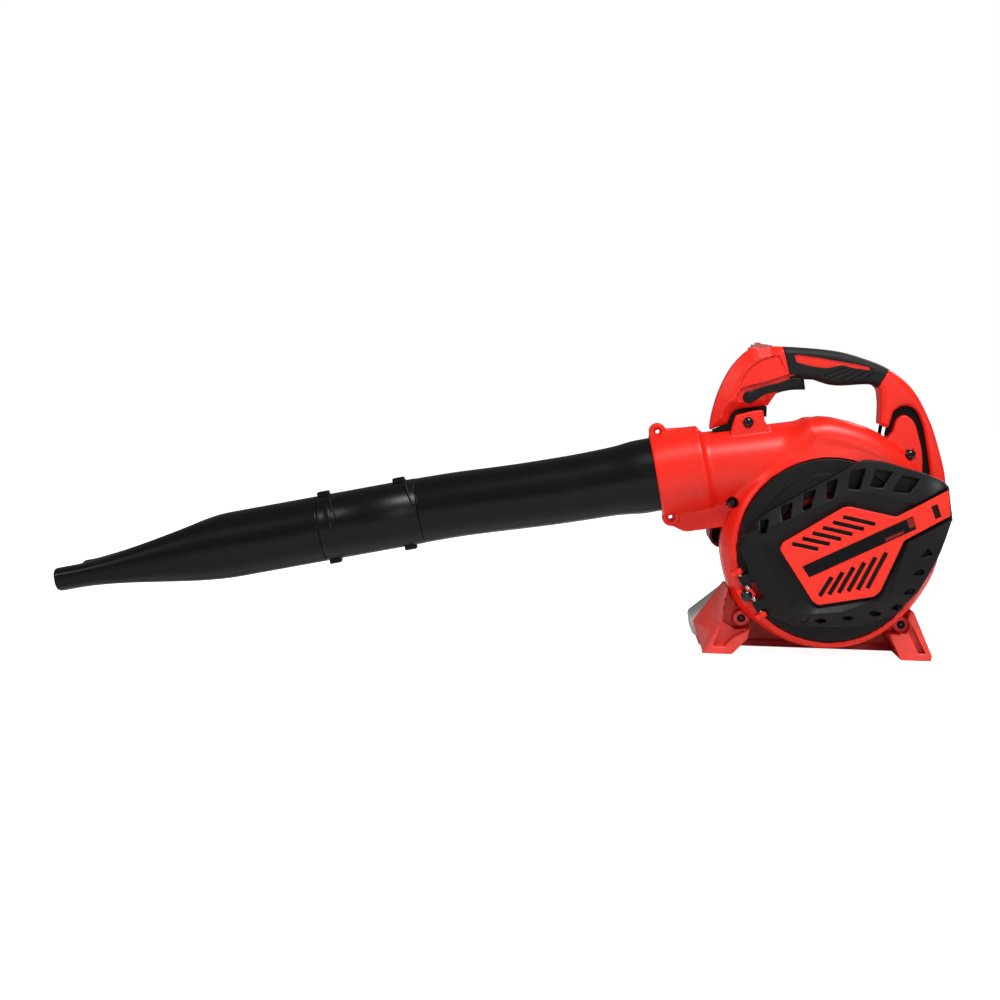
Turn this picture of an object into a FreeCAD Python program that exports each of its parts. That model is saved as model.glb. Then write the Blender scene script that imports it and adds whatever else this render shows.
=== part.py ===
import FreeCAD
import Part
import math
import os

# Hand-held petrol leaf blower, millimetres.
# Modelling frame: X runs from the nozzle (negative) to the rear handle leg (positive), Y runs from the
# air inlet cover (negative) to the starter (positive), Z is up from the ground the feet stand on.
# The fan shaft crosses X = 0. Every shape is moved by ROW_SHIFT when it is saved, so that the saved
# origin is the middle of the footprint of the whole blower.

V = FreeCAD.Vector
UP = V(0, 0, 1)
ACROSS = V(0, 1, 0)

# ---------------------------------------------------------------- driving dimensions
ROW_SHIFT = V(390, -47, 0)

SHAFT_Z = 128.0
WALL = 3.0
NEAR_FACE_Y = -50.0
FAR_FACE_Y = 42.0
CAVITY_NEAR_Y = -38.0
DISC_SEAT_R = 107.7
INLET_EYE_R = 58.0

TUBE_TILT = math.radians(12.2)
TUBE_R = 39.3
TUBE_WALL = 2.2
SPIGOT_GAP = 0.4
SPIGOT_LENGTH = 28.0
FIRST_JOINT = V(-482.5, 0, 154.6)
MIDDLE_LENGTH = 120.0
MOUTH_X = -917.5

COLLAR_R = 50.0
SOCKET_R = 44.4
SOCKET_LIFT = 1.9
COLLAR_FRONT_X = -210.0
COLLAR_BACK_X = -150.0
LUG_HOLE_R = 2.6
LUG_THREAD_R = 2.1

HANDLE_HALF_WIDTH = 20.0
TRIGGER_PIVOT = (-98.0, 302.0)

HINGE_MID = V(-90, -58, 75.5)
HINGE_DIRECTION = V(0.52, 0, -0.854)
HINGE_PIN_R = 1.5
HINGE_SCREW_SEAT_Y = -62.6

SCREW_R = 2.0
SCREW_HEAD_R = 6.2
SCREW_HEAD_H = 4.0
HOUSING_SCREWS = [(-113, 178, -18), (-98, 273, -26), (92, 241, -26)]
STAND_SCREWS = [(-97, 41), (91, 40)]

CYLINDER_Y = 88.0
PORT_Z = 184.0
KNOB_Y = 106.0
PULLEY_R = 20.0
ROPE_R = 1.6
ROPE_Y = 129.0

AXIS = V(math.cos(TUBE_TILT), 0, math.sin(TUBE_TILT))
AXIS_NORMAL = V(-math.sin(TUBE_TILT), 0, math.cos(TUBE_TILT))


# ---------------------------------------------------------------- helpers
def save(name, shape):
    moved = shape.copy()
    moved.translate(ROW_SHIFT)
    moved.exportStep("parts/" + name + ".step")
    box_ = moved.BoundBox
    state = "ok" if moved.isValid() and moved.Solids else "BAD"
    print(f"{name:26s} {state} solids {len(moved.Solids)} volume {moved.Volume / 1000:8.2f} cm3 "
          f"x {box_.XMin:.0f}..{box_.XMax:.0f} y {box_.YMin:.0f}..{box_.YMax:.0f} "
          f"z {box_.ZMin:.0f}..{box_.ZMax:.0f}")


def box(x0, x1, y0, y1, z0, z1):
    return Part.makeBox(x1 - x0, y1 - y0, z1 - z0, V(x0, y0, z0))


def y_cyl(x, z, radius, y0, y1):
    return Part.makeCylinder(radius, y1 - y0, V(x, y0, z), ACROSS)


def rod(start, end, radius):
    run = end - start
    return Part.makeCylinder(radius, run.Length, start, run)


def upright(radius, z0, z1):
    """Cylinder on the engine's bore axis."""
    return Part.makeCylinder(radius, z1 - z0, V(0, CYLINDER_Y, z0), UP)


def port_rod(x0, x1, radius):
    """Cylinder on the line of the intake and exhaust ports."""
    return rod(V(x0, CYLINDER_Y, PORT_Z), V(x1, CYLINDER_Y, PORT_Z), radius)


def knob_rod(x0, x1, radius):
    """Cylinder on the line of the air cleaner's knob."""
    return rod(V(x0, KNOB_Y, PORT_Z), V(x1, KNOB_Y, PORT_Z), radius)


def edges_along(shape, direction):
    """Straight edges of the shape that run along the direction."""
    return [e for e in shape.Edges if abs(e.tangentAt(e.FirstParameter).dot(direction)) > 0.9]


def join(shapes):
    return shapes[0].multiFuse(shapes[1:]).removeSplitter() if len(shapes) > 1 else shapes[0]


def outline(stretches, y):
    """Closed face in the plane Y = y. Each stretch is ("line" or "curve", [(x, z), ...])."""
    edges = []
    last = None
    first = V(stretches[0][1][0][0], y, stretches[0][1][0][1])
    for kind, corners in stretches:
        points = [V(x, y, z) for x, z in corners]
        if last is not None and (points[0] - last).Length > 1e-6:
            points = [last] + points
        if kind == "curve":
            spline = Part.BSplineCurve()
            spline.interpolate(points)
            edges.append(spline.toShape())
        else:
            edges += [Part.LineSegment(a, b).toShape() for a, b in zip(points, points[1:])]
        last = points[-1]
    if (last - first).Length > 1e-6:
        edges.append(Part.LineSegment(last, first).toShape())
    return Part.Face(Part.Wire(edges))


def slab(stretches, y0, y1):
    return outline(stretches, y0).extrude(V(0, y1 - y0, 0))


def plate(corners, y0, y1):
    return slab([("line", corners)], y0, y1)


def tapered(low, high, y0, y1):
    """Solid between two outlines with the same number of corners, at Y = y0 and Y = y1."""
    wires = []
    for corners, y in ((low, y0), (high, y1)):
        points = [V(x, y, z) for x, z in corners]
        wires.append(Part.makePolygon(points + points[:1]))
    return Part.makeLoft(wires, True, True)


def edges_at_y(shape, y, longer_than=0.0):
    found = []
    for edge in shape.Edges:
        flat = abs(edge.BoundBox.YMin - y) < 1e-3 and abs(edge.BoundBox.YMax - y) < 1e-3
        if flat and edge.Length > longer_than:
            found.append(edge)
    return found


def near_side(shape):
    return shape.common(box(-400, 400, -200, 0, -50, 500))


def far_side(shape):
    return shape.common(box(-400, 400, 0, 200, -50, 500))


def dome_screw(x, z, head_y, length, head_r=SCREW_HEAD_R, shank_r=SCREW_R):
    """Domed head facing -Y with a round recess, and a shank running to +Y."""
    ball_r = (head_r ** 2 + SCREW_HEAD_H ** 2) / (2 * SCREW_HEAD_H)
    ball = Part.makeSphere(ball_r, V(x, head_y - SCREW_HEAD_H + ball_r, z))
    head = ball.common(y_cyl(x, z, head_r, head_y - SCREW_HEAD_H, head_y))
    head = head.cut(y_cyl(x, z, head_r * 0.36, head_y - SCREW_HEAD_H - 1, head_y - SCREW_HEAD_H + 2))
    return head.fuse(y_cyl(x, z, shank_r, head_y - 0.5, head_y + length))


# ---------------------------------------------------------------- scroll, duct and collar
# Outer radius of the fan scroll, by the angle from +X turning towards +Z.
SCROLL = [(152, 121), (180, 124.5), (210, 125), (232, 120), (256, 117.5), (285, 117), (315, 118),
          (340, 124), (362, 131.5), (385, 137), (409, 142), (430, 148), (450, 154.5), (466, 158.5)]


def scroll_face(inset, y):
    points = []
    for angle, radius in SCROLL:
        turn = math.radians(angle)
        reach = radius - inset
        points.append((reach * math.cos(turn), SHAFT_Z + reach * math.sin(turn)))
    return outline([("curve", points)], y)


def scroll_solid(inset, y0, y1):
    return scroll_face(inset, y0).extrude(V(0, y1 - y0, 0))


def duct_solid(inset):
    """Round duct that widens from the collar's step into the scroll."""
    start = V(COLLAR_BACK_X - 2, 0, 215.4)
    end = V(-22, 0, 234.5)
    run = end - start
    return Part.makeCone(43.5 - inset, 48.0 - inset, run.Length, start, run)


def collar_axis(x, lift=0.0):
    return V(x, 0, 201.5 + lift + (x + 222) * math.tan(TUBE_TILT))


def housing_outer():
    near = scroll_solid(0, NEAR_FACE_Y, 0)
    near = near.makeFillet(16, edges_at_y(near, NEAR_FACE_Y))
    far = scroll_solid(0, 0, FAR_FACE_Y)
    far = far.makeFillet(12, edges_at_y(far, FAR_FACE_Y))
    collar = rod(collar_axis(COLLAR_FRONT_X), collar_axis(COLLAR_BACK_X), COLLAR_R)
    return [near, far, duct_solid(0), collar]


def housing_cavity():
    hollow = scroll_solid(WALL, CAVITY_NEAR_Y, FAR_FACE_Y - WALL)
    socket_end = collar_axis(COLLAR_BACK_X - 30, SOCKET_LIFT)
    socket = rod(collar_axis(COLLAR_FRONT_X - 5, SOCKET_LIFT), socket_end, SOCKET_R)
    throat = rod(socket_end - AXIS * 1, collar_axis(COLLAR_BACK_X + 4, SOCKET_LIFT), 40.0)
    return [hollow, duct_solid(WALL), socket, throat]


UPPER_LUG = (-203, 258)
LOWER_LUG = (-184, 157)
PARTING_FLANGE = [(-196, 150), (-190, 146), (-170, 141), (-115, 149), (-100, 178), (-112, 200), (-190, 190)]
FRONT_LUG = [(-120, 250), (-116, 270), (-112, 281), (-92, 286.5), (-81, 288), (-79, 276), (-72, 262)]
REAR_TONGUE = [("line", [(108, 205), (107, 222)]),
               ("curve", [(107, 222), (105.5, 244), (101, 262), (95, 279), (84, 287), (75, 281), (71, 268)]),
               ("line", [(71, 268), (62, 254), (70, 225), (108, 205)])]


def lugs(y0, y1):
    found = []
    for x, z in (UPPER_LUG, LOWER_LUG):
        found.append(y_cyl(x, z, 10.0, y0, y1))
    found.append(plate([(-211, 262), (-194, 264), (-160, 256), (-160, 235), (-205, 230)], y0 / 2, y1 / 2))
    found.append(plate(PARTING_FLANGE, y0 * 0.8, y1 * 0.8))
    found.append(plate(FRONT_LUG, y0 * 1.6, y1 * 1.6))
    found.append(slab(REAR_TONGUE, y0 * 1.6, y1 * 1.6))
    return found


def screw_holes():
    holes = []
    for x, z, head_y in HOUSING_SCREWS:
        holes.append(y_cyl(x, z, SCREW_R + 0.1, head_y - 30, 30))
        holes.append(y_cyl(x, z, SCREW_HEAD_R + 0.5, head_y - 30, head_y))
    for x, z in (UPPER_LUG, LOWER_LUG):
        holes.append(y_cyl(x, z, LUG_HOLE_R, -60, 0))
        holes.append(y_cyl(x, z, LUG_THREAD_R, 0, 60))
        holes.append(y_cyl(x, z, 5.0, -60, -9.0))
    return holes


def screw_bosses():
    bosses = []
    for x, z, head_y in HOUSING_SCREWS:
        bosses.append(y_cyl(x, z, 8.0, head_y, 0))
    return bosses


def fan_housing():
    cavity = housing_cavity()
    shell = join(housing_outer() + lugs(-12, 12) + screw_bosses()).cut(cavity)
    shell = shell.cut(y_cyl(0, SHAFT_Z, DISC_SEAT_R, NEAR_FACE_Y - 5, CAVITY_NEAR_Y - WALL))
    shell = shell.cut(y_cyl(0, SHAFT_Z, INLET_EYE_R, NEAR_FACE_Y - 5, -30))
    shell = shell.cut(y_cyl(0, SHAFT_Z, 24.0, 30, 60))
    shell = shell.cut(screw_holes())
    shell = shell.cut(hinge_screw_hole())
    inlet_half = near_side(shell)
    latch_post = box(113, 118, -60, -42, 174, 182)
    far_bosses = [y_cyl(x, z, 8.0, 2, 24) for x, z in STAND_SCREWS]
    arms = [plate([(-103, 33), (-91, 47), (-80, 60), (-88, 66)], 4, 22),
            plate([(97, 33), (85, 47), (74, 58), (83, 66)], 4, 22)]
    engine_half = far_side(shell)
    boss_holes = [y_cyl(x, z, SCREW_R + 0.1, 0, 30) for x, z in STAND_SCREWS]
    engine_half = join([engine_half] + far_bosses + arms).cut(housing_cavity()).cut(boss_holes)
    for x, z in ENGINE_BOLTS:
        engine_half = engine_half.cut(y_cyl(x, z, 2.6, 30, 60))
    return join([inlet_half, latch_post] + rim_hinge_lugs()), engine_half


# ---------------------------------------------------------------- inlet cover on its hinge
RAISED_BASE = [(-103, 150), (-77, 174), (6, 222), (36, 238), (58, 236), (104, 224), (128, 214), (133, 206),
               (136, 174), (133, 150), (120, 116), (103, 84), (72, 52), (14, 36), (-40, 38), (-76, 58),
               (-88, 92), (-101, 120)]
RAISED_TOP = [(-93, 148), (-72, 165), (10, 211), (38, 227), (57, 226), (100, 215), (124, 207), (131, 204),
              (134, 175), (126, 152), (112, 118), (94, 90), (66, 61), (14, 45), (-38, 47), (-66, 66),
              (-78, 92), (-90, 120)]
PANEL = [(-60, 129), (-57, 137), (11, 180), (19, 181), (72, 171), (130, 204), (133.5, 174), (82, 144),
         (57, 84), (50, 78), (-13, 66), (-20, 70)]
PANEL_ROOM = [(-61, 129), (-58, 138), (11, 181.2), (19, 182.2), (71.7, 172.2), (140, 211), (140, 177),
              (83, 143.5), (57.9, 83.4), (50.4, 77), (-13.3, 64.8), (-21, 69.5)]
RIM_VENTS = [(-77, 155, 12, 15), (-53, 172, 13, 18), (-28, 186, 13, 18), (-2, 199, 13, 18), (27, 213, 20, 19),
             (54, 214, 20, 17), (82, 207, 22, 16), (109, 132, 11, 8), (99, 108, 12, 6), (90, 86, 12, 6),
             (78, 67, 12, 6), (52, 58, 13, 5), (20, 53, 11, 4), (-11, 49, 11, 4)]
COVER_BACK_Y = -50.4
DISC_BACK_Y = -49.6
DISC_FRONT_Y = -53.4
RIDGE_Y = -76.0


def grown(corners, growth, y0, y1):
    """Plate with a straight-sided outline that is grown outward, or inward when growth is negative."""
    face = outline([("line", corners)], y0)
    if growth:
        face = face.makeOffset2D(growth)
    return face.extrude(V(0, y1 - y0, 0))


def cover_shell():
    disc = y_cyl(0, SHAFT_Z, 106.5, DISC_FRONT_Y, DISC_BACK_Y)
    raised = tapered(RAISED_TOP, RAISED_BASE, RIDGE_Y, COVER_BACK_Y)
    inner_base = [(x * 0.965, SHAFT_Z + (z - SHAFT_Z) * 0.965) for x, z in RAISED_BASE]
    inner_top = [(x * 0.955, SHAFT_Z + (z - SHAFT_Z) * 0.955) for x, z in RAISED_TOP]
    hollow = tapered(inner_top, inner_base, RIDGE_Y + 2.6, COVER_BACK_Y + 1)
    shell = disc.fuse(raised).cut(hollow)
    shell = shell.cut(y_cyl(0, SHAFT_Z, 80, COVER_BACK_Y - 6, COVER_BACK_Y + 1))
    shell = shell.cut(grown(PANEL_ROOM, 0, RIDGE_Y - 5, RIDGE_Y + 7))
    wall = grown(PANEL_ROOM, 2.4, RIDGE_Y + 1, RIDGE_Y + 9.4).cut(grown(PANEL_ROOM, 0, RIDGE_Y, RIDGE_Y + 10))
    ledge = grown(PANEL_ROOM, 2.4, RIDGE_Y + 7, RIDGE_Y + 9.4)
    ledge = ledge.cut(grown(PANEL_ROOM, -5, RIDGE_Y, RIDGE_Y + 10))
    ribs = [plate([(-40, 60), (-35, 60), (104, 208), (98, 208)], RIDGE_Y + 7, RIDGE_Y + 9.4),
            plate([(-64, 140), (-62, 135), (80, 96), (82, 101)], RIDGE_Y + 7, RIDGE_Y + 9.4)]
    ribs = [rib.common(grown(PANEL_ROOM, 1, RIDGE_Y, RIDGE_Y + 12)) for rib in ribs]
    shell = join([shell] + [piece.common(raised) for piece in [wall, ledge] + ribs])
    for x, z, wide, tall in RIM_VENTS:
        shell = shell.cut(box(x - wide / 2, x + wide / 2, RIDGE_Y - 4, COVER_BACK_Y - 5,
                              z - tall / 2, z + tall / 2))
    shell = shell.cut(hinge_clearance())
    return join([shell] + hinge_knuckles()).cut([hinge_bore(), latch_room()])


def hinge_span(start, end, radius):
    return rod(HINGE_MID + HINGE_DIRECTION * start, HINGE_MID + HINGE_DIRECTION * end, radius)


def hinge_bore():
    return hinge_span(-30, 30, HINGE_PIN_R + 0.05)


def hinge_inward():
    """Unit vector in the XZ plane from the hinge line towards the shaft."""
    side = HINGE_DIRECTION.cross(ACROSS)
    return side if side.x > 0 else side * -1


def hinge_bar(first, last, inward_0, inward_1, y0, y1):
    """Straight block along the hinge: spans are measured from the middle of the pin."""
    corner = HINGE_MID + HINGE_DIRECTION * first
    wide = hinge_inward()
    points = [corner + wide * inward_0 + V(0, y0, 0), corner + wide * inward_1 + V(0, y0, 0),
              corner + wide * inward_1 + V(0, y1, 0), corner + wide * inward_0 + V(0, y1, 0)]
    face = Part.Face(Part.makePolygon(points + points[:1]))
    return face.extrude(HINGE_DIRECTION * (last - first))


def hinge_clearance():
    """The disc is cut back to a straight edge beside the hinge, so that it can swing clear."""
    return hinge_bar(-30, 30, -30, 4, -30, 20)


def hinge_knuckles():
    pieces = []
    for start in (-23.0, 11.0):
        pieces.append(hinge_span(start, start + 12, 4.4))
        pieces.append(hinge_bar(start, start + 12, 1.5, 16, -3.0, 3.4))
        pieces.append(hinge_bar(start, start + 12, 4.5, 16, 3.0, 7.6))
    return pieces


def rim_hinge_lugs():
    """Red lugs on the rim that hold the two ends of the pin."""
    pieces = []
    for start in (-30.0, 26.0):
        lug = join([hinge_bar(start, start + 4, -8, 2.5, 0, 16), hinge_span(start, start + 4, 4.0)])
        pieces.append(lug.cut([hinge_span(-40, 40, HINGE_PIN_R), y_cyl(0, SHAFT_Z, 102, -60, -40)]))
    return pieces


def hinge_bracket():
    """Red bracket screwed to the rim: it carries the pin between the cover's two knuckles."""
    spot = hinge_screw_spot()
    boss = y_cyl(spot.x, spot.z, 5.4, HINGE_SCREW_SEAT_Y, -53)
    pieces = [hinge_bar(-4.4, 4.4, -12, 2.0, 2.5, 7.8), hinge_span(-4.4, 4.4, 4.4), boss]
    return join(pieces).cut([hinge_span(-40, 40, HINGE_PIN_R), hinge_screw_hole()])


def hinge_screw_spot():
    return HINGE_MID - hinge_inward() * 6.0


def hinge_screw_hole():
    spot = hinge_screw_spot()
    return y_cyl(spot.x, spot.z, SCREW_R + 0.1, -90, -36)


def hinge_springs():
    """Two short torsion coils on the pin, between the bracket and the cover's knuckles."""
    coils = []
    for start in (-10.6, 4.8):
        sleeve = hinge_span(start, start + 5.8, 3.2).cut(hinge_span(start - 1, start + 7, HINGE_PIN_R + 0.3))
        coils.append(sleeve)
    return Part.makeCompound(coils)


def cover_panel():
    panel = plate(PANEL, RIDGE_Y + 2.5, RIDGE_Y + 6.8)
    for k in range(6):
        panel = panel.cut(slanted_slot(V(-47 + 11.6 * k, 0, 136.5 + 6.5 * k), V(29.5, 0, -8.5), 3.8))
        foot = V(0.5 + 12.4 * k, 0, 99.5 + 5.6 * k)
        panel = panel.cut(slanted_slot(foot, V(-9.5 - 1.9 * k, 0, -24.5 - 3.6 * k), 4.6))
    band_seat = plate(LABEL_BAND, RIDGE_Y + 2, RIDGE_Y + 3.3)
    latch_slot = plate([(111, 184), (117.5, 187.5), (123, 173), (116.5, 169.5)], RIDGE_Y, RIDGE_Y + 8)
    return panel.cut([band_seat, latch_slot])


LABEL_BAND = [(-33, 110), (-25, 98), (95, 158), (90, 172)]


def slanted_slot(start, run, width):
    side = V(-run.z, 0, run.x).normalize() * (width / 2)
    y = V(0, RIDGE_Y, 0)
    corners = [start - side + y, start + run - side + y, start + run + side + y, start + side + y]
    return Part.Face(Part.makePolygon(corners + corners[:1])).extrude(V(0, 8, 0))


def label_plate():
    inner = [(-32.5, 109.6), (-24.7, 98.6), (94.4, 158.2), (89.8, 171.4)]
    return plate(inner, RIDGE_Y + 2.4, RIDGE_Y + 3.3)


def latch_room():
    return box(107, 125, RIDGE_Y + 6.9, COVER_BACK_Y + 2, 169, 190.5)


def cover_latch():
    """Sliding latch behind the slot in the arm. Its finger stands beside the catch on the rim."""
    body = box(111.8, 123.5, RIDGE_Y + 7.2, -65.8, 171, 186)
    finger = box(119, 122, -65.9, -53.5, 173.5, 182.5)
    return join([body, finger])


# ---------------------------------------------------------------- blower tubes and flat nozzle
REAR_TUBE = [(-482.5, 154.6, 38.9), (-436, 163.9, 38.7), (-382, 172.7, 38.7), (-329, 181.5, 39.4),
             (-275, 192.2, 40.0), (-241, 199.4, 42.0), (-222, 203.4, 44.0), (-196, 209.0, 44.0)]


def circle_wire(centre, radius, direction):
    return Part.Wire(Part.makeCircle(radius, centre, direction))


def bent_tube(stations, inset):
    wires = []
    for i, (x, z, radius) in enumerate(stations):
        before = stations[max(i - 1, 0)]
        after = stations[min(i + 1, len(stations) - 1)]
        direction = V(after[0] - before[0], 0, after[1] - before[1])
        if i == 0:
            direction = AXIS
        wires.append(circle_wire(V(x, 0, z), radius - inset, direction))
    return Part.makeLoft(wires, True, True)


def bayonet_lugs(centre, along, radius):
    """Two small blocks on top of and under a tube."""
    pieces = []
    for side in (1, -1):
        foot = centre + AXIS * along + AXIS_NORMAL * (side * (radius - 0.8))
        block = Part.makeBox(11, 12, 4.6, V(-5.5, -6, 0))
        turn = FreeCAD.Rotation(ACROSS, -math.degrees(TUBE_TILT) + (0 if side > 0 else 180))
        block.Placement = FreeCAD.Placement(foot, turn)
        pieces.append(block)
    return pieces


def blower_tube_rear():
    tube = bent_tube(REAR_TUBE, 0).cut(bent_tube(REAR_TUBE, TUBE_WALL))
    mouth = rod(FIRST_JOINT - AXIS, FIRST_JOINT + AXIS * (SPIGOT_LENGTH + 2), TUBE_R - TUBE_WALL + 0.05)
    tube = tube.cut(mouth)
    lugs_ = [piece.cut(mouth) for piece in bayonet_lugs(FIRST_JOINT, 8, 38.9)]
    return join([tube] + lugs_)


def straight_tube(joint, length):
    front = joint - AXIS * length
    body = rod(front, joint - AXIS * 0.35, TUBE_R)
    neck = rod(joint - AXIS * 2, joint + AXIS * SPIGOT_LENGTH, TUBE_R - TUBE_WALL - SPIGOT_GAP + 0.05)
    bore = rod(front - AXIS, joint + AXIS * (SPIGOT_LENGTH + 1), TUBE_R - TUBE_WALL * 2 - SPIGOT_GAP + 0.05)
    return join([body, neck]).cut(bore)


def blower_tube_middle():
    tube = straight_tube(FIRST_JOINT, MIDDLE_LENGTH)
    second = FIRST_JOINT - AXIS * MIDDLE_LENGTH
    mouth = rod(second - AXIS, second + AXIS * (SPIGOT_LENGTH + 2), TUBE_R - TUBE_WALL + 0.05)
    band = rod(FIRST_JOINT - AXIS * 14, FIRST_JOINT - AXIS * 10, TUBE_R + 1.2)
    band = band.cut(rod(FIRST_JOINT - AXIS * 16, FIRST_JOINT, TUBE_R - 1))
    pieces = [tube, band] + bayonet_lugs(FIRST_JOINT, -8, TUBE_R) + bayonet_lugs(second, 9, TUBE_R)
    return join(pieces).cut(mouth)


def nozzle_section(along, inset):
    """Section of the nozzle at a distance along its axis: round at the root, a wide flat mouth at the tip."""
    share = min(max((along - 106.0) / 195.0, 0.0), 1.0)
    eased = share * share * (3 - 2 * share)
    half_height = TUBE_R * (1 - eased) + 14.0 * eased - inset
    half_width = TUBE_R * (1 - eased) + 49.0 * eased - inset
    squareness = 2.0 + 1.2 * eased
    dip = 0.42 * eased
    centre = FIRST_JOINT - AXIS * (MIDDLE_LENGTH + along)
    points = []
    count = 32
    for i in range(count):
        turn = 2 * math.pi * i / count
        across = math.copysign(abs(math.cos(turn)) ** (2 / squareness), math.cos(turn))
        rise = math.copysign(abs(math.sin(turn)) ** (2 / squareness), math.sin(turn))
        pinch = 1 - dip * math.exp(-(across / 0.42) ** 2) if rise > 0 else 1.0
        points.append(centre + V(0, half_width * across, 0) + AXIS_NORMAL * (half_height * rise * pinch))
    spline = Part.BSplineCurve()
    spline.interpolate(points, PeriodicFlag=True)
    return Part.Wire(spline.toShape())


NOZZLE_STATIONS = [0.35, 50, 106, 125, 140, 155, 170, 185, 200, 215, 230, 245, 260, 275, 290, 305, 335]


def flat_nozzle():
    joint = FIRST_JOINT - AXIS * MIDDLE_LENGTH
    body = Part.makeLoft([nozzle_section(s, 0) for s in NOZZLE_STATIONS], True, True)
    hollow = Part.makeLoft([nozzle_section(s, TUBE_WALL + 0.4) for s in NOZZLE_STATIONS[1:]], True, True)
    neck = rod(joint - AXIS * 2, joint + AXIS * SPIGOT_LENGTH, TUBE_R - TUBE_WALL - SPIGOT_GAP + 0.05)
    bore_r = TUBE_R - TUBE_WALL * 2 - SPIGOT_GAP + 0.05
    bore = rod(joint - AXIS * 52, joint + AXIS * (SPIGOT_LENGTH + 1), bore_r)
    nozzle = join([body, neck] + bayonet_lugs(joint, -9, TUBE_R)).cut(hollow).cut(bore)
    return nozzle.cut(box(MOUTH_X - 60, MOUTH_X, -80, 80, -50, 200))


# ---------------------------------------------------------------- stand
FRONT_FOOT = [(-143, 0), (-108, 0), (-90, 19), (-84, 44), (-96, 78), (-116, 78), (-122, 36)]
FRONT_FOOT_FAR = [(-141, 0), (-108, 0), (-90, 19), (-84, 44), (-96, 78), (-116, 78), (-151, 28)]
REAR_FOOT = [(90, 0), (125, 0), (126, 6), (103, 57), (92, 66), (80, 50), (76, 27), (84, 13)]


def stand(engine_half):
    front = tapered(FRONT_FOOT, FRONT_FOOT_FAR, -38, 46)
    rear = plate(REAR_FOOT, -38, 46)
    pieces = [front, rear]
    for low, high in ((-143, -106), (88, 125)):
        pieces.append(box(low, high, 40, 150, 0, 8))
        pieces.append(box(low, high, 138, 150, 0, 30))
    for y in (40, 142):
        pieces.append(box(-120, 100, y, y + 8, 0, 8))
    pieces.append(box(-118, 98, FAR_FACE_Y + 1, FAR_FACE_Y + 5, 4, 34))
    body = join(pieces)
    body = body.cut(scroll_solid(-0.3, NEAR_FACE_Y - 2, FAR_FACE_Y + 8))
    rooms = [plate([(-131, 10), (-121.5, 29), (-108, 22), (-114, 7)], -40, -24),
             plate([(100, 9), (117, 8), (104, 36), (96, 30)], -40, -24),
             plate([(-130, 8), (-120, 30), (-112, 62), (-102, 62), (-96, 30), (-110, 8)], -20, 60),
             plate([(96, 8), (86, 26), (90, 52), (98, 50), (116, 8)], -20, 60)]
    rooms += [y_cyl(x, z, 8.4, -45, -18) for x, z in STAND_SCREWS]
    body = body.cut(rooms)
    ears = [y_cyl(x, z, 9.5, -18, 1.6) for x, z in STAND_SCREWS]
    ears.append(plate([(-112, 30), (-90, 27), (-96, 52), (-118, 56)], -18, 1.6))
    ears.append(plate([(104, 28), (84, 28), (86, 54), (106, 46)], -18, 1.6))
    ears = join(ears).cut(scroll_solid(-0.3, NEAR_FACE_Y - 2, FAR_FACE_Y + 8))
    holes = [y_cyl(x, z, SCREW_R + 0.1, -30, 50) for x, z in STAND_SCREWS]
    return join([body, ears]).cut(holes + [engine_half])


# ---------------------------------------------------------------- handle
HANDLE = [("line", [(-121, 270), (-136, 265), (-142, 262)]),
          ("curve", [(-142, 262), (-140, 280), (-133, 307), (-120, 335), (-103, 355), (-91, 361)]),
          ("curve", [(-91, 361), (-60, 363), (-2, 360), (34, 352), (65, 340), (93, 318), (114, 282),
                     (132, 229), (136.5, 200), (136.5, 178)]),
          ("line", [(136.5, 178), (120, 178)]),
          ("curve", [(120, 178), (117, 219), (108, 268), (102.5, 284), (95, 294.5), (84, 297.5), (73, 291),
                     (69, 280)]),
          ("line", [(69, 280), (66, 271), (56, 276)]),
          ("curve", [(56, 276), (55, 304), (51, 318), (40, 321.5), (3, 319), (-22, 325)]),
          ("curve", [(-22, 325), (-46, 324), (-62, 312), (-75, 293)]),
          ("line", [(-75, 293), (-108, 288), (-114, 285), (-118, 280), (-121, 270)])]
GRIP_ZONE = [(-61.5, 368), (-49, 322), (-30, 300), (30, 300), (51, 316), (70, 349), (40, 375)]
GRIP_SKIN = 1.6
BLADE_SLOT = [(-97, 292), (-82, 306), (-78, 323), (-50, 336.5), (-30, 340), (-22, 334), (-24, 316),
              (-70, 285)]
HANDLE_SCREWS = [(-126, 296), (-116, 321), (82, 318), (127, 214)]


def redrawn(face):
    """The same face with each curved edge drawn again as one interpolated spline."""
    edges = []
    for edge in face.OuterWire.Edges:
        if edge.Curve.TypeId == "Part::GeomLine":
            edges.append(edge)
        else:
            spline = Part.BSplineCurve()
            spline.interpolate(edge.discretize(24))
            edges.append(spline.toShape())
    return Part.Face(Part.Wire(Part.sortEdges(edges)[0]))


def handle_block(inset, half_width, rounding):
    face = outline(HANDLE, -half_width)
    if inset > 0:
        face = redrawn(face.makeOffset2D(-inset))
    block = face.extrude(V(0, 2 * half_width, 0))
    if rounding > 0:
        block = block.makeChamfer(rounding, edges_at_y(block, half_width) + edges_at_y(block, -half_width))
    return block


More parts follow.
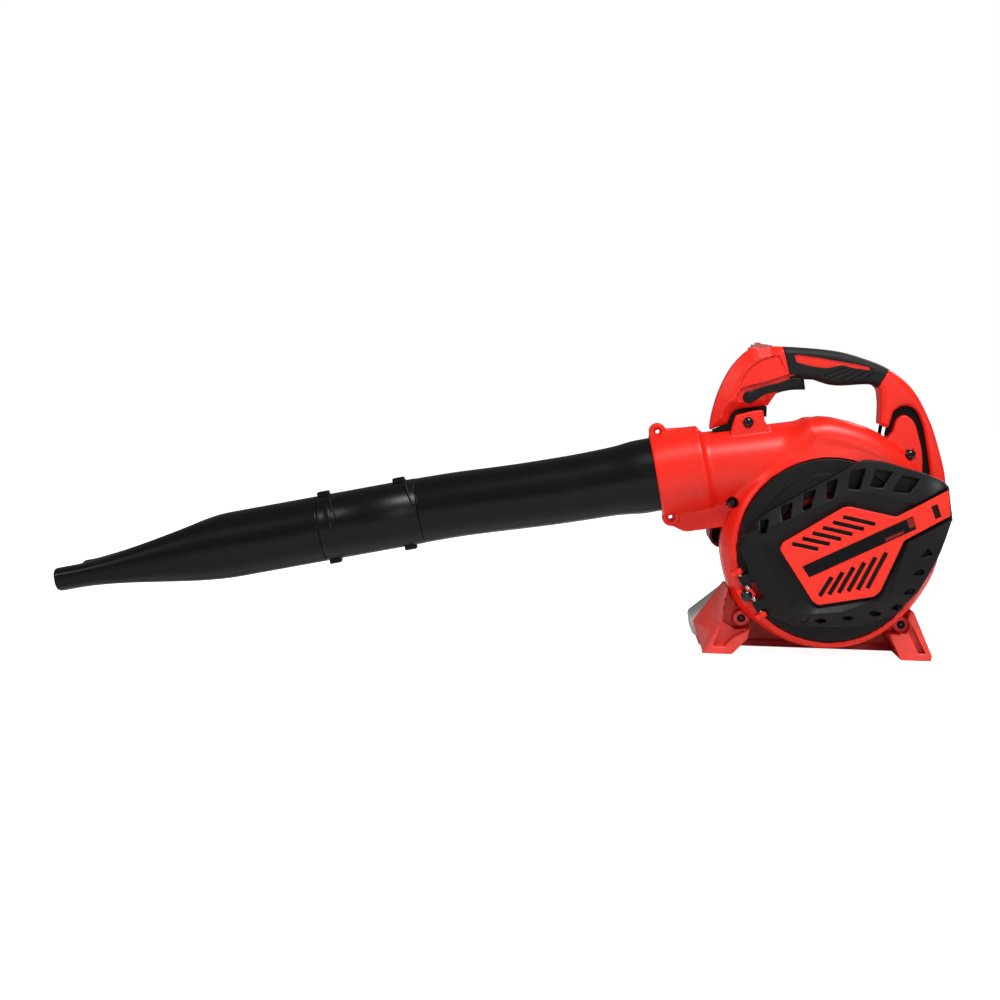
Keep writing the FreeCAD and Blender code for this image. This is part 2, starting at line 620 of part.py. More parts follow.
def handle_pieces():
    outer = handle_block(0, HANDLE_HALF_WIDTH, 2.0)
    core = handle_block(GRIP_SKIN, HANDLE_HALF_WIDTH - GRIP_SKIN, 0)
    hollow = handle_block(4.4, HANDLE_HALF_WIDTH - 4.6, 0)
    zone = plate(GRIP_ZONE, -40, 40)
    body = outer.cut(zone).fuse(core.common(zone))
    body = body.cut([hollow, scroll_solid(-0.6, -60, 60)])
    px, pz = TRIGGER_PIVOT
    blade_slot = plate(BLADE_SLOT, -8, 8)
    pin_hole = y_cyl(px, pz, 2.55, -40, 40)
    lever_room = plate([(-110, 290), (-112, 304), (-106, 313), (-78, 321), (-52, 331), (-28, 329), (-28, 308),
                        (-58, 300), (-84, 292), (-98, 288)], -HANDLE_HALF_WIDTH - 1, -HANDLE_HALF_WIDTH + 2.6)
    switch_room = join([box(-93, -75, -6, 6, 345, 368), box(-96, -72, -9, 9, 361.6, 370)])
    cable_exit = rounded_route(CABLE_ROUTE, CABLE_R + 1.0)
    body = body.cut([blade_slot, pin_hole, lever_room, switch_room, cable_exit])
    boss = y_cyl(px, pz, 6, -16, -9).fuse(y_cyl(px, pz, 6, 9, 16)).cut(pin_hole)
    body = body.fuse(boss)
    holes = [y_cyl(x, z, 1.7, -40, 12) for x, z in HANDLE_SCREWS]
    posts = [y_cyl(x, z, 4.5, -16, 16) for x, z in HANDLE_SCREWS]
    body = body.fuse(posts).cut(holes)
    sleeve = outer.common(zone).cut(core)
    windows = []
    window = [(-51, 354), (0, 350), (40, 341), (42, 338), (17, 343.5), (-11, 340), (-40, 341.5), (-51, 344)]
    for y in (-30.0, 10.0):
        windows.append(plate(window, y, y + 20))
    return near_side(body), far_side(body), sleeve.cut(windows).cut([blade_slot, lever_room])


def throttle_trigger():
    px, pz = TRIGGER_PIVOT
    profile = [("line", [(px, pz + 6), (-74, 317)]),
               ("curve", [(-74, 317), (-60, 321), (-45, 325), (-33, 326)]),
               ("line", [(-33, 326), (-31, 313)]),
               ("curve", [(-31, 313), (-48, 312), (-62, 308.5), (-72, 303), (-82, 297)]),
               ("line", [(-82, 297), (px, pz - 5)])]
    blade = slab(profile, -6.5, 6.5)
    hub = y_cyl(px, pz, 6.5, -8.5, 8.5)
    horn = plate([(px - 3, pz), (px + 3, pz), (px + 2, pz + 17), (px - 2, pz + 17)], -3, 3)
    return join([blade, hub, horn]).cut(y_cyl(px, pz, 2.55, -20, 20))


def cruise_lever():
    px, pz = TRIGGER_PIVOT
    y0 = -HANDLE_HALF_WIDTH - 2.6
    y1 = -HANDLE_HALF_WIDTH + 2.2
    profile = [("curve", [(px - 4, pz + 6), (-80, 316), (-62, 321), (-48, 327)]),
               ("line", [(-48, 327), (-38, 326), (-40, 318)]),
               ("curve", [(-40, 318), (-62, 311), (-80, 306), (-88, 300), (px + 3, pz - 5.6)]),
               ("line", [(px + 3, pz - 5.6), (px - 4, pz + 6)])]
    lever = join([slab(profile, y0, y1), y_cyl(px, pz, 7, y0 - 0.6, y1)])
    return lever.cut(y_cyl(px, pz, 2.55, -40, -10))


def trigger_pin():
    px, pz = TRIGGER_PIVOT
    return y_cyl(px, pz, 2.5, -22, 14)


def trigger_spring():
    px, pz = TRIGGER_PIVOT
    sleeve = y_cyl(px, pz, 8.0, 8.9, 13.0).cut(y_cyl(px, pz, 6.3, 8, 14))
    leg = rod(V(px + 6.8, 11, pz + 2), V(px + 13, 11, pz + 19), 0.7)
    return sleeve.fuse(leg)


def stop_switch():
    bezel = box(-96, -72, -9, 9, 361.6, 364.2).cut(box(-93, -75, -6, 6, 355, 370))
    case = box(-93, -75, -6, 6, 348, 362)
    profile = [(-91.6, 359), (-92, 366.4), (-87, 366.9), (-84, 365.2), (-80, 365.0), (-76.4, 364.9),
               (-76.4, 359)]
    rocker = plate(profile, -5.2, 5.2)
    return join([bezel, case.cut(box(-92.6, -75.4, -5.7, 5.7, 349.5, 363))]), rocker


def mount_rubbers():
    """Rubber strips that keep the handle off the fan housing, front and rear."""
    arch = [("curve", [(115.0, 228), (107.0, 266), (101.4, 283), (94.2, 292.6), (84, 295.8), (75.5, 290.6),
                       (72, 284)]),
            ("line", [(72, 284), (75.2, 281.8)]),
            ("curve", [(75.2, 281.8), (84, 288.0), (96, 280.4), (102.2, 262.5), (106.8, 244), (108.4, 228)]),
            ("line", [(108.4, 228), (115.0, 228)])]
    front = [(-112.6, 281.9), (-92, 287.0), (-80.5, 288.6), (-80.5, 291.6), (-107.8, 287.4), (-113.4, 284.6)]
    return Part.makeCompound([slab(arch, -14, 14), plate(front, -14, 14)])


CABLE_R = 2.2
CABLE_ROUTE = [V(62, 8, 303), V(62, 11, 277), V(65, 50, 259), V(71, 63, 207.5)]


def rounded_route(points, radius, share=0.45):
    """A tube along straight runs joined by tangent arcs."""
    edges = []
    at = points[0]
    for before, corner, after in zip(points, points[1:], points[2:]):
        back = (before - corner).normalize()
        ahead = (after - corner).normalize()
        reach = share * min((before - corner).Length, (after - corner).Length)
        half_turn = (math.pi - back.getAngle(ahead)) / 2
        bend = reach / math.tan(half_turn)
        start = corner + back * reach
        end = corner + ahead * reach
        middle_way = (back + ahead).normalize()
        centre = corner + middle_way * (bend / math.cos(half_turn))
        middle = centre - middle_way * bend
        edges.append(Part.LineSegment(at, start).toShape())
        edges.append(Part.Arc(start, middle, end).toShape())
        print(f"   bend radius {bend:.0f} mm")
        at = end
    edges.append(Part.LineSegment(at, points[-1]).toShape())
    path = Part.Wire(edges)
    section = circle_wire(points[0], radius, points[1] - points[0])
    return path.makePipeShell([section], True, False)


# ---------------------------------------------------------------- engine
ENGINE_BOLTS = [(-52, 98), (52, 98), (-52, 158), (52, 158)]


def impeller():
    hub = y_cyl(0, SHAFT_Z, 18, -12, 33)
    back = y_cyl(0, SHAFT_Z, 94, 30.5, 33)
    rim_side = [(26, -8), (60, -32), (94, -24), (94, 31), (17, 31), (17, -8)]
    blades = []
    for k in range(12):
        corners = [V(r, y, SHAFT_Z - 1.1) for r, y in rim_side]
        blade = Part.Face(Part.makePolygon(corners + corners[:1])).extrude(V(0, 0, 2.2))
        blade.rotate(V(17, 0, SHAFT_Z), ACROSS, 12)
        blade.rotate(V(0, 0, SHAFT_Z), ACROSS, 30 * k)
        blades.append(blade.common(y_cyl(0, SHAFT_Z, 94, -40, 40)))
    return join([hub, back] + blades).cut([y_cyl(0, SHAFT_Z, 5.0, -20, 50), y_cyl(0, SHAFT_Z, 12, -20, -5)])


def impeller_nut():
    points = [V(8 * math.cos(math.pi * k / 3), -5, SHAFT_Z + 8 * math.sin(math.pi * k / 3)) for k in range(6)]
    nut = Part.Face(Part.makePolygon(points + points[:1])).extrude(V(0, -7, 0))
    return nut.cut(y_cyl(0, SHAFT_Z, 5.0, -20, 0))


def crankshaft():
    main = y_cyl(0, SHAFT_Z, 5.0, -14, 80)
    rear = y_cyl(0, SHAFT_Z, 5.0, 96, 121)
    webs = [y_cyl(0, SHAFT_Z, 21, 77, 82), y_cyl(0, SHAFT_Z, 21, 94, 99)]
    pin = y_cyl(0, SHAFT_Z + 13, 4.5, 82, 94)
    cup = y_cyl(0, SHAFT_Z, 11, 116.5, 121.2)
    return join([main, rear, pin, cup] + webs)


def crankcase():
    block = join([y_cyl(0, SHAFT_Z, 31, 64, 112), box(-27, 27, 66, 110, SHAFT_Z, 160)])
    sump = box(-24, 24, 68, 108, 94, 128)
    block = join([block, sump])
    room = [y_cyl(0, SHAFT_Z, 24, 74.5, 101.5), y_cyl(0, SHAFT_Z, 5.35, 50, 130),
            Part.makeCylinder(18.2, 60, V(0, CYLINDER_Y, SHAFT_Z), UP),
            y_cyl(0, SHAFT_Z, 13, 67, 76), y_cyl(0, SHAFT_Z, 13, 100, 109)]
    block = block.cut(room)
    legs = []
    for x, z in ENGINE_BOLTS:
        legs.append(y_cyl(x, z, 6.5, FAR_FACE_Y, 74))
        legs.append(rod(V(x, 70, z), V(x * 0.46, 72, SHAFT_Z + (z - SHAFT_Z) * 0.46), 4.5))
    tapped = [y_cyl(x, z, 2.6, FAR_FACE_Y - 2, 60) for x, z in ENGINE_BOLTS]
    fan_side = join([block.common(box(-60, 60, 60, CYLINDER_Y, 80, 160))] + legs).cut(room + tapped)
    starter_side = block.common(box(-60, 60, CYLINDER_Y, 120, 80, 160))
    return fan_side, starter_side


def crank_bearings():
    found = []
    for y in (67.2, 101.7):
        ring = y_cyl(0, SHAFT_Z, 13.0, y, y + 7).cut(y_cyl(0, SHAFT_Z, 10.6, y - 1, y + 8))
        inner = y_cyl(0, SHAFT_Z, 7.6, y, y + 7).cut(y_cyl(0, SHAFT_Z, 5.05, y - 1, y + 8))
        balls = []
        for k in range(8):
            turn = math.pi * k / 4
            spot = V(9.1 * math.cos(turn), y + 3.5, SHAFT_Z + 9.1 * math.sin(turn))
            balls.append(Part.makeSphere(1.5, spot))
        found += [ring, inner] + balls
    return Part.makeCompound(found)


def cylinder():
    barrel = upright(22, 160, 222)
    fins = []
    for k in range(7):
        fin = box(-36, 36, CYLINDER_Y - 29, CYLINDER_Y + 26, 172 + 7.2 * k, 174 + 7.2 * k)
        fins.append(fin.common(upright(40, 150, 250)))
    flange = box(-27, 27, 66, 110, 160, 164)
    ports = [box(-46, -20, CYLINDER_Y - 10, CYLINDER_Y + 10, 176, 192),
             box(20, 42, CYLINDER_Y - 9, CYLINDER_Y + 9, 176, 192)]
    bores = [port_rod(-50, -10, 6), port_rod(10, 50, 5.5),
             upright(17.2, 158, 212), upright(5.1, 205, 235)]
    return join([barrel, flange] + fins + ports).cut(bores)


def piston():
    crown = upright(17.1, 181, 207)
    inside = upright(14.5, 180, 202)
    wrist = rod(V(0, CYLINDER_Y - 16.5, 190), V(0, CYLINDER_Y + 16.5, 190), 4)
    grooves = []
    for z in (201, 204):
        ring = Part.makeCylinder(18, 1.4, V(0, CYLINDER_Y, z), UP)
        grooves.append(ring.cut(Part.makeCylinder(16.2, 3, V(0, CYLINDER_Y, z - 1), UP)))
    return join([crown.cut(inside), wrist]).cut(grooves)


def flywheel():
    disc = y_cyl(0, SHAFT_Z, 44, 50, 58)
    hub = y_cyl(0, SHAFT_Z, 14, 46, 62)
    fins = []
    for k in range(16):
        fin = box(18, 42, 46, 51, SHAFT_Z - 1.1, SHAFT_Z + 1.1)
        fin.rotate(V(0, 0, SHAFT_Z), ACROSS, 22.5 * k)
        fins.append(fin)
    return join([disc, hub] + fins).cut(y_cyl(0, SHAFT_Z, 5.0, 40, 70))


def ignition_coil():
    legs = [box(-17, -9, 47, 56, 172.6, 196), box(9, 17, 47, 56, 172.6, 196)]
    body = box(-18, 18, 44.5, 57, 184, 202)
    return join(legs + [body]).cut(y_cyl(0, SHAFT_Z, 44.6, 40, 60))


def spark_plug():
    thread = upright(5.0, 208.5, 222.5)
    hexagon = upright(9, 222, 230)
    ceramic = Part.makeCone(5, 4, 12, V(0, CYLINDER_Y, 230), UP)
    tip = upright(1.6, 242, 247)
    return join([thread, hexagon, ceramic, tip])


def spark_plug_cap():
    stem = upright(8, 234, 251)
    arm = rod(V(0, CYLINDER_Y - 4, 245.5), V(0, CYLINDER_Y - 17, 245.5), 5)
    room = [Part.makeCone(5.2, 4.2, 12.2, V(0, CYLINDER_Y, 230), UP), upright(1.8, 240.5, 248.5)]
    return join([stem, arm]).cut(room)


HT_ROUTE = [V(0, 70.9, 246), V(0, 54, 246), V(0, 50.5, 222), V(0, 50.5, 202.1)]


def carburettor():
    insulator = box(42, 52, CYLINDER_Y - 14, CYLINDER_Y + 14, 168, 200)
    insulator = insulator.cut(port_rod(40, 60, 5.5))
    body = box(52, 78, CYLINDER_Y - 15, CYLINDER_Y + 15, 166, 202)
    body = body.makeFillet(2.5, edges_along(body, V(1, 0, 0)))
    pump = box(56, 74, CYLINDER_Y - 12, CYLINDER_Y + 12, 160, 167)
    primer_cup = y_cyl(65, 174, 9.2, CYLINDER_Y + 14, CYLINDER_Y + 20)
    body = join([body, pump, primer_cup])
    cuts = [y_cyl(65, 174, 7.8, CYLINDER_Y + 13.5, CYLINDER_Y + 21),
            port_rod(50, 80, 6),
            y_cyl(65, 190, 2.05, 70, 110),
            y_cyl(71.5, 194.5, 2.05, CYLINDER_Y + 9, CYLINDER_Y + 20)]
    body = body.cut(cuts)
    return insulator, body


def throttle_lever():
    shaft = rod(V(65, CYLINDER_Y - 22, 190), V(65, CYLINDER_Y + 16, 190), 2.0)
    arm = plate([(61.5, 187), (61.5, 193), (73, 192), (75, 190), (74.5, 187), (73, 186.4)],
                CYLINDER_Y - 22, CYLINDER_Y - 19)
    return join([shaft, arm])


def air_cleaner():
    base = box(78, 84, 60, 120, 150, 216).cut(port_rod(70, 90, 8))
    base = base.fuse(knob_rod(78, 113, 2.5))
    pad = box(84.2, 98, 64, 116, 154, 212).cut([box(80, 99, CYLINDER_Y + 11, CYLINDER_Y + 25, 177, 191)])
    lid = box(84.2, 112, 57, 123, 147, 219)
    lid = lid.makeFillet(9, edges_along(lid, V(1, 0, 0)))
    lid = lid.makeFillet(5, [e for e in lid.Edges if e.BoundBox.XMin > 111.9])
    lid = lid.cut([box(84, 109.4, 60, 120, 150, 216), knob_rod(100, 120, 3.0)])
    for k in range(5):
        slit = box(90, 105, 50, 130, 158 + 11 * k, 161.5 + 11 * k)
        lid = lid.cut(slit.cut(box(80, 120, 62, 118, 150, 216)))
    knob = knob_rod(112.3, 121, 9)
    for k in range(8):
        turn = math.pi * k / 4
        y, z = KNOB_Y + 10.4 * math.cos(turn), PORT_Z + 10.4 * math.sin(turn)
        knob = knob.cut(rod(V(111, y, z), V(123, y, z), 2.2))
    knob = knob.cut(knob_rod(108, 114, 2.55))
    return base, pad, lid, knob


def choke_lever():
    shaft = y_cyl(71.5, 194.5, 2.0, CYLINDER_Y + 9.5, 130)
    return join([shaft, box(68.5, 74.5, 126, 130, 194.5, 226), y_cyl(71.5, 226, 4.5, 126, 130)])


def primer_bulb():
    """Rubber dome in the cup on the carburettor's outer side."""
    dome = Part.makeSphere(7.1, V(65, 109.5, 174)).common(box(50, 80, 108, 130, 160, 190))
    return dome.fuse(y_cyl(65, 174, 7.4, 106, 109.5))


def muffler():
    can = box(-84, -47, 64, 112, 168, 216)
    can = can.makeFillet(6, can.Edges)
    chamber = box(-82.4, -48.6, 65.6, 110.4, 169.6, 214.4)
    chamber = chamber.makeFillet(4.5, chamber.Edges)
    flange = box(-49, -46, CYLINDER_Y - 12, CYLINDER_Y + 12, 174, 194)
    inlet = port_rod(-52, -44, 6)
    outlet = rod(V(-70, 109, 176), V(-70, 117, 170), 5)
    bore = rod(V(-70, 107, 177.5), V(-70, 118, 169.25), 3.6)
    return join([can.cut(chamber), flange, outlet]).cut([bore, inlet])


def muffler_guard():
    shell = box(-134, -50, 50, 124, 118, 226)
    shell = shell.makeFillet(14, [e for e in edges_along(shell, ACROSS) if e.BoundBox.XMax < -60])
    inner = box(-131, -40, 47, 121, 121, 223)
    inner = inner.makeFillet(11, [e for e in edges_along(inner, ACROSS) if e.BoundBox.XMax < -60])
    shell = shell.cut(inner)
    slots = [box(-124, -62, 116, 130, 186 + 8 * k, 190 + 8 * k) for k in range(4)]
    outlet_hole = rod(V(-70, 100, 182.75), V(-70, 130, 160.25), 8)
    return shell.cut(slots + [outlet_hole, y_cyl(0, SHAFT_Z, 58, 110, 130)])


def engine_shroud():
    outer_line = [("line", [(-49, 166), (-49, 236)]),
                  ("curve", [(-49, 236), (-40, 252), (-20, 259), (20, 259), (44, 250), (56, 236)]),
                  ("line", [(56, 236), (56, 206), (50, 206), (50, 166), (-49, 166)])]
    inner_line = [("line", [(-46, 150), (-46, 235)]),
                  ("curve", [(-46, 235), (-38, 249), (-19, 256), (19, 256), (42, 247.5), (53, 235)]),
                  ("line", [(53, 235), (53, 209), (47, 209), (47, 150), (-46, 150)])]
    shell = slab(outer_line, FAR_FACE_Y + 0.2, 122).cut(slab(inner_line, FAR_FACE_Y - 2, 119))
    openings = [box(-60, -44, CYLINDER_Y - 27, CYLINDER_Y + 27, 155, 218),
                box(40, 60, CYLINDER_Y - 17, CYLINDER_Y + 17, 155, 204),
                box(-60, 70, 100, 130, 150, 186), duct_solid(-0.5)]
    slots = [box(-30 + 13 * k, -23 + 13 * k, 112, 130, 196, 236) for k in range(5)]
    return shell.cut(openings + slots)


def starter():
    dish = y_cyl(0, SHAFT_Z, 56, 116, 150)
    dish = dish.makeFillet(8, edges_at_y(dish, 150))
    post = y_cyl(0, SHAFT_Z, 5, 123.5, 148)
    slots = []
    for k in range(18):
        slot = box(30, 46, 140, 160, SHAFT_Z - 2, SHAFT_Z + 2)
        slot.rotate(V(0, 0, SHAFT_Z), ACROSS, 20 * k)
        slots.append(slot)
    neck = box(11, 29, 122.5, 137, 168, 190)
    arms = []
    for angle in (30, 150, 270):
        arm = box(24, 55, 112.05, 118.5, SHAFT_Z - 6, SHAFT_Z + 6)
        arm.rotate(V(0, 0, SHAFT_Z), ACROSS, -angle)
        arms.append(arm)
    room = y_cyl(0, SHAFT_Z, 53, 115, 147)
    dish = join([join([dish, neck]).cut([room] + slots), post] + arms)
    rope_hole = Part.makeCylinder(ROPE_R + 0.6, 60, V(PULLEY_R, ROPE_Y, 150), UP)
    pulley = y_cyl(0, SHAFT_Z, 24, 124.5, 134)
    groove = y_cyl(0, SHAFT_Z, 30, 127.2, 131.2).cut(y_cyl(0, SHAFT_Z, PULLEY_R - ROPE_R - 0.3, 126, 133))
    pulley = pulley.cut([groove, y_cyl(0, SHAFT_Z, 5.06, 120, 140)])
    spring = y_cyl(0, SHAFT_Z, 21, 135, 141).cut(y_cyl(0, SHAFT_Z, 7, 134, 142))
    return dish.cut(rope_hole), pulley, spring


def starter_rope_and_grip():
    rope = Part.makeCylinder(ROPE_R, 70, V(PULLEY_R, ROPE_Y, SHAFT_Z + 2), UP)
    grip = join([Part.makeCylinder(5.0, 14, V(PULLEY_R, ROPE_Y, 190.4), UP),
                 rod(V(PULLEY_R - 20, ROPE_Y, 209), V(PULLEY_R + 20, ROPE_Y, 209), 6.5),
                 Part.makeSphere(6.5, V(PULLEY_R - 20, ROPE_Y, 209)),
                 Part.makeSphere(6.5, V(PULLEY_R + 20, ROPE_Y, 209))])
    grip = grip.cut(Part.makeCylinder(ROPE_R + 0.05, 12, V(PULLEY_R, ROPE_Y, 188.2), UP))
    return rope, grip


TANK_SIDE = [(-150, 8), (-154, 30), (-106, 70), (78, 70), (78, 8)]
TANK_ROOM = [(-146.5, 11), (-150.2, 29), (-104.7, 67), (75, 67), (75, 11)]
CAP_FOOT = V(-74, 136.4, 79.8)
CAP_WAY = V(0, 28, 24).normalize()


def fuel_tank():
    body = plate(TANK_SIDE, 54, 136)
    body = body.makeFillet(8, edges_along(body, ACROSS))
    body = body.makeFillet(6, edges_at_y(body, 54) + edges_at_y(body, 136))
    hollow = plate(TANK_ROOM, 57, 133)
    hollow = hollow.makeFillet(5, edges_along(hollow, ACROSS))
    neck = rod(CAP_FOOT - CAP_WAY * 24, CAP_FOOT - CAP_WAY * 0.4, 17)
    neck_bore = rod(CAP_FOOT - CAP_WAY * 22, CAP_FOOT + CAP_WAY * 3, 13)
    tank = join([body, neck]).cut([hollow, neck_bore])
    return tank.cut([rod(V(x, 96, 60), V(x, 96, 76), 3.2) for x in (46, 62)])


def fuel_cap():
    foot = CAP_FOOT
    way = CAP_WAY
    cap = rod(foot, foot + way * 14, 21)
    plug = rod(foot - way * 10, foot + way * 1, 12.7)
    grips = []
    for k in range(12):
        side = V(1, 0, 0) * math.cos(k * math.pi / 6) + way.cross(V(1, 0, 0)) * math.sin(k * math.pi / 6)
        grips.append(rod(foot - way + side * 22.4, foot + way * 12 + side * 22.4, 2.6))
    return join([cap.cut(grips), plug])


def fuel_lines():
    first = rounded_route([V(46, 96, 50), V(46, 96, 84), V(60, 97, 120), V(61, 97, 159.8)], 2.4)
    second = rounded_route([V(62, 96, 50), V(62, 96, 88), V(69, 86, 124), V(69, 85, 159.8)], 2.4)
    return Part.makeCompound([first, second])


# ---------------------------------------------------------------- write every piece
def main():
    os.makedirs("parts", exist_ok=True)
    inlet_half, engine_half = fan_housing()
    near_handle, far_handle, sleeve = handle_pieces()
    bezel, rocker = stop_switch()
    fan_case, starter_case = crankcase()
    insulator, carb = carburettor()
    base, pad, lid, knob = air_cleaner()
    starter_dish, pulley, recoil = starter()
    rope, grip = starter_rope_and_grip()
    screws = [dome_screw(x, z, y, 24 - y * 0.2) for x, z, y in HOUSING_SCREWS]
    screws += [dome_screw(x, z, FAR_FACE_Y - WALL, 14, 5.0, 2.5) for x, z in ENGINE_BOLTS]
    spot = hinge_screw_spot()
    screws.append(dome_screw(spot.x, spot.z, HINGE_SCREW_SEAT_Y, 20, 7.0))
    pieces = {
        "fan_housing_inlet_half": inlet_half,
        "fan_housing_engine_half": engine_half,
        "impeller": impeller(),
        "impeller_nut": impeller_nut(),
        "inlet_cover": cover_shell(),
        "inlet_cover_panel": cover_panel(),
        "cover_label_plate": label_plate(),
        "cover_latch": cover_latch(),
        "cover_hinge_bracket": hinge_bracket().cut(inlet_half),
        "cover_hinge_pin": hinge_span(-30, 30, HINGE_PIN_R),
        "cover_hinge_springs": hinge_springs(),
        "housing_screws": Part.makeCompound(screws),
        "blower_tube_rear": blower_tube_rear(),
        "blower_tube_middle": blower_tube_middle(),
        "flat_nozzle": flat_nozzle(),
        "stand": stand(engine_half),
        "stand_screws": Part.makeCompound([dome_screw(x, z, -18, 34, 5.0) for x, z in STAND_SCREWS]),
        "handle_near_half": near_handle,
        "handle_far_half": far_handle,
        "grip_sleeve": sleeve,
        "handle_screws": Part.makeCompound([rod(V(x, -12, z), V(x, 10, z), 1.65) for x, z in HANDLE_SCREWS]),
        "throttle_trigger": throttle_trigger(),
        "trigger_pin": trigger_pin(),
        "trigger_spring": trigger_spring(),
        "cruise_lever": cruise_lever(),
        "stop_switch_base": bezel,
        "stop_switch_rocker": rocker,
        "handle_mount_rubbers": mount_rubbers(),
        "throttle_cable": rounded_route(CABLE_ROUTE, CABLE_R),
        "crankcase_fan_side": fan_case,
        "crankcase_starter_side": starter_case,
        "crankshaft": crankshaft(),
        "crank_bearings": crank_bearings(),
        "cylinder": cylinder(),
        "piston": piston(),
        "flywheel": flywheel(),
        "ignition_coil": ignition_coil(),
        "spark_plug": spark_plug(),
        "spark_plug_cap": spark_plug_cap(),
        "ht_lead": rounded_route(HT_ROUTE, 2.5),
        "intake_insulator": insulator,
        "carburettor": carb,
        "throttle_lever": throttle_lever(),
        "choke_lever": choke_lever(),
        "primer_bulb": primer_bulb(),
        "air_cleaner_base": base,
        "air_filter": pad,
        "air_cleaner_cover": lid,
        "air_cleaner_knob": knob,
        "muffler": muffler(),
        "muffler_guard": muffler_guard(),
        "engine_shroud": engine_shroud(),
        "starter_housing": starter_dish,
        "starter_pulley": pulley,
        "recoil_spring": recoil,
        "starter_rope": rope,
        "starter_grip": grip,
        "fuel_tank": fuel_tank(),
        "fuel_cap": fuel_cap(),
        "fuel_lines": fuel_lines(),
    }
    for name, shape in pieces.items():
        save(name, shape)
    print(len(pieces), "nodes")


main()
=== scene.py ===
import math
from functools import reduce

import bpy
import numpy as np
from mathutils import Matrix, Vector


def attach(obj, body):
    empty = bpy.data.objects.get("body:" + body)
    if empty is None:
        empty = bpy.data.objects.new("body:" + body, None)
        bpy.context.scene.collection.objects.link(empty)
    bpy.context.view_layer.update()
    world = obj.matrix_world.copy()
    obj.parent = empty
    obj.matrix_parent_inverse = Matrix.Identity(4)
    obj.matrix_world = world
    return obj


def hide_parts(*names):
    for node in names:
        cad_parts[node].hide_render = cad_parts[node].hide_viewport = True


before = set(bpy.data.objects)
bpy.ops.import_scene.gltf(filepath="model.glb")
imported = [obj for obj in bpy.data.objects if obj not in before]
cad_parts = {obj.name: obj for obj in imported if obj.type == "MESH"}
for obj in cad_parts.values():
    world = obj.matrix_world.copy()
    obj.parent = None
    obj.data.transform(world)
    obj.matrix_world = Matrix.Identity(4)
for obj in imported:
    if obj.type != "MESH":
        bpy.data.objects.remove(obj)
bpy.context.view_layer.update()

# All shapes below are written in millimetres, with X = 0 on the fan shaft, Y = 0 on the housing's
# parting plane and Z = 0 on the ground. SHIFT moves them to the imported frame.
SHIFT = np.array([390.0, -47.0, 0.0])
SHAFT_Z = 128.0
TILT = math.radians(12.2)
AXIS = np.array([math.cos(TILT), 0.0, math.sin(TILT)])
NORMAL = np.array([-math.sin(TILT), 0.0, math.cos(TILT)])
FIRST_JOINT = np.array([-482.5, 0.0, 154.6])
MIDDLE_LENGTH = 120.0
SECOND_JOINT = FIRST_JOINT - AXIS * MIDDLE_LENGTH
TUBE_R = 39.3
TUBE_WALL = 2.15
SOCKET_R = 37.15
SPIGOT_R, SPIGOT_BORE = 36.75, 34.55
NOZZLE_LENGTH = 319.5
TAPER_START, TAPER_LENGTH = 106.0, 195.0
MOUTH_HALF_WIDTH, MOUTH_HALF_HEIGHT = 49.0, 15.6
HINGE_MID = np.array([-90.0, -58.0, 75.5])
HINGE_ALONG = np.array([0.52, 0.0, -0.854]) / np.linalg.norm([0.52, 0.0, -0.854])
HINGE_INWARD = np.array([0.854, 0.0, 0.52]) / np.linalg.norm([0.854, 0.0, 0.52])
HINGE_SCREW = HINGE_MID - HINGE_INWARD * 6
HINGE_PIN_R = 1.5
HALF_GAP = 0.15  # each half of a split moulding stops this far from the parting plane
SCREW_HOLE = 2.1
CLAMP_HOLE = 2.6
FRONT_FACE, BACK_FACE = -47.5, 42.0  # the scroll's two flat sides
COVER_SEAT = -41.0
HOUSING_WALL = 3.0
STAND_FRONT, STAND_BACK = -38.0, 46.0
HANDLE_HALF = 20.0
PIN_HOLE = 2.55


# ---- distance fields
def union(*fields):
    return lambda x, y, z: reduce(np.minimum, [f(x, y, z) for f in fields])


def both(*fields):
    return lambda x, y, z: reduce(np.maximum, [f(x, y, z) for f in fields])


def cut(body, *tools):
    return lambda x, y, z: reduce(np.maximum, [body(x, y, z)] + [-t(x, y, z) for t in tools])


def soft_min(a, b, radius):
    near = np.maximum(radius - np.abs(a - b), 0) / radius
    return np.minimum(a, b) - near * near * radius / 4


def blend(radius, *fields):
    return lambda x, y, z: reduce(lambda a, b: soft_min(a, b, radius), [f(x, y, z) for f in fields])


def soft_cut(radius, body, *tools):
    return lambda x, y, z: -reduce(lambda a, b: soft_min(a, b, radius),
                                   [-body(x, y, z)] + [t(x, y, z) for t in tools])


def grow(body, amount):
    return lambda x, y, z: body(x, y, z) - amount


def below_y(level):
    return lambda x, y, z: y - level


def above_y(level):
    return lambda x, y, z: level - y


def polygon(points):
    start = np.array(points, float)
    end = np.roll(start, -1, axis=0)

    def face(x, z):
        shape = np.broadcast(x, z).shape
        nearest = np.full(shape, 1e12)
        inside = np.zeros(shape, bool)
        for (ax, az), (bx, bz) in zip(start, end):
            ex, ez = bx - ax, bz - az
            length = ex * ex + ez * ez
            if length < 1e-9:
                continue
            t = np.clip(((x - ax) * ex + (z - az) * ez) / length, 0, 1)
            nearest = np.minimum(nearest, (x - ax - ex * t) ** 2 + (z - az - ez * t) ** 2)
            if ez != 0:
                inside ^= ((az > z) != (bz > z)) & (x < ax + ex * (z - az) / ez)
        distance = np.sqrt(nearest)
        return np.where(inside, -distance, distance)

    return face


def disc(cx, cz, radius):
    return lambda x, z: np.hypot(x - cx, z - cz) - radius


def rounded_edge(a, b, rounding):
    """Distance field of the space inside both a and b, with a rounded edge where they meet."""
    return np.minimum(np.maximum(a, b), 0) + np.hypot(np.maximum(a, 0), np.maximum(b, 0)) - rounding


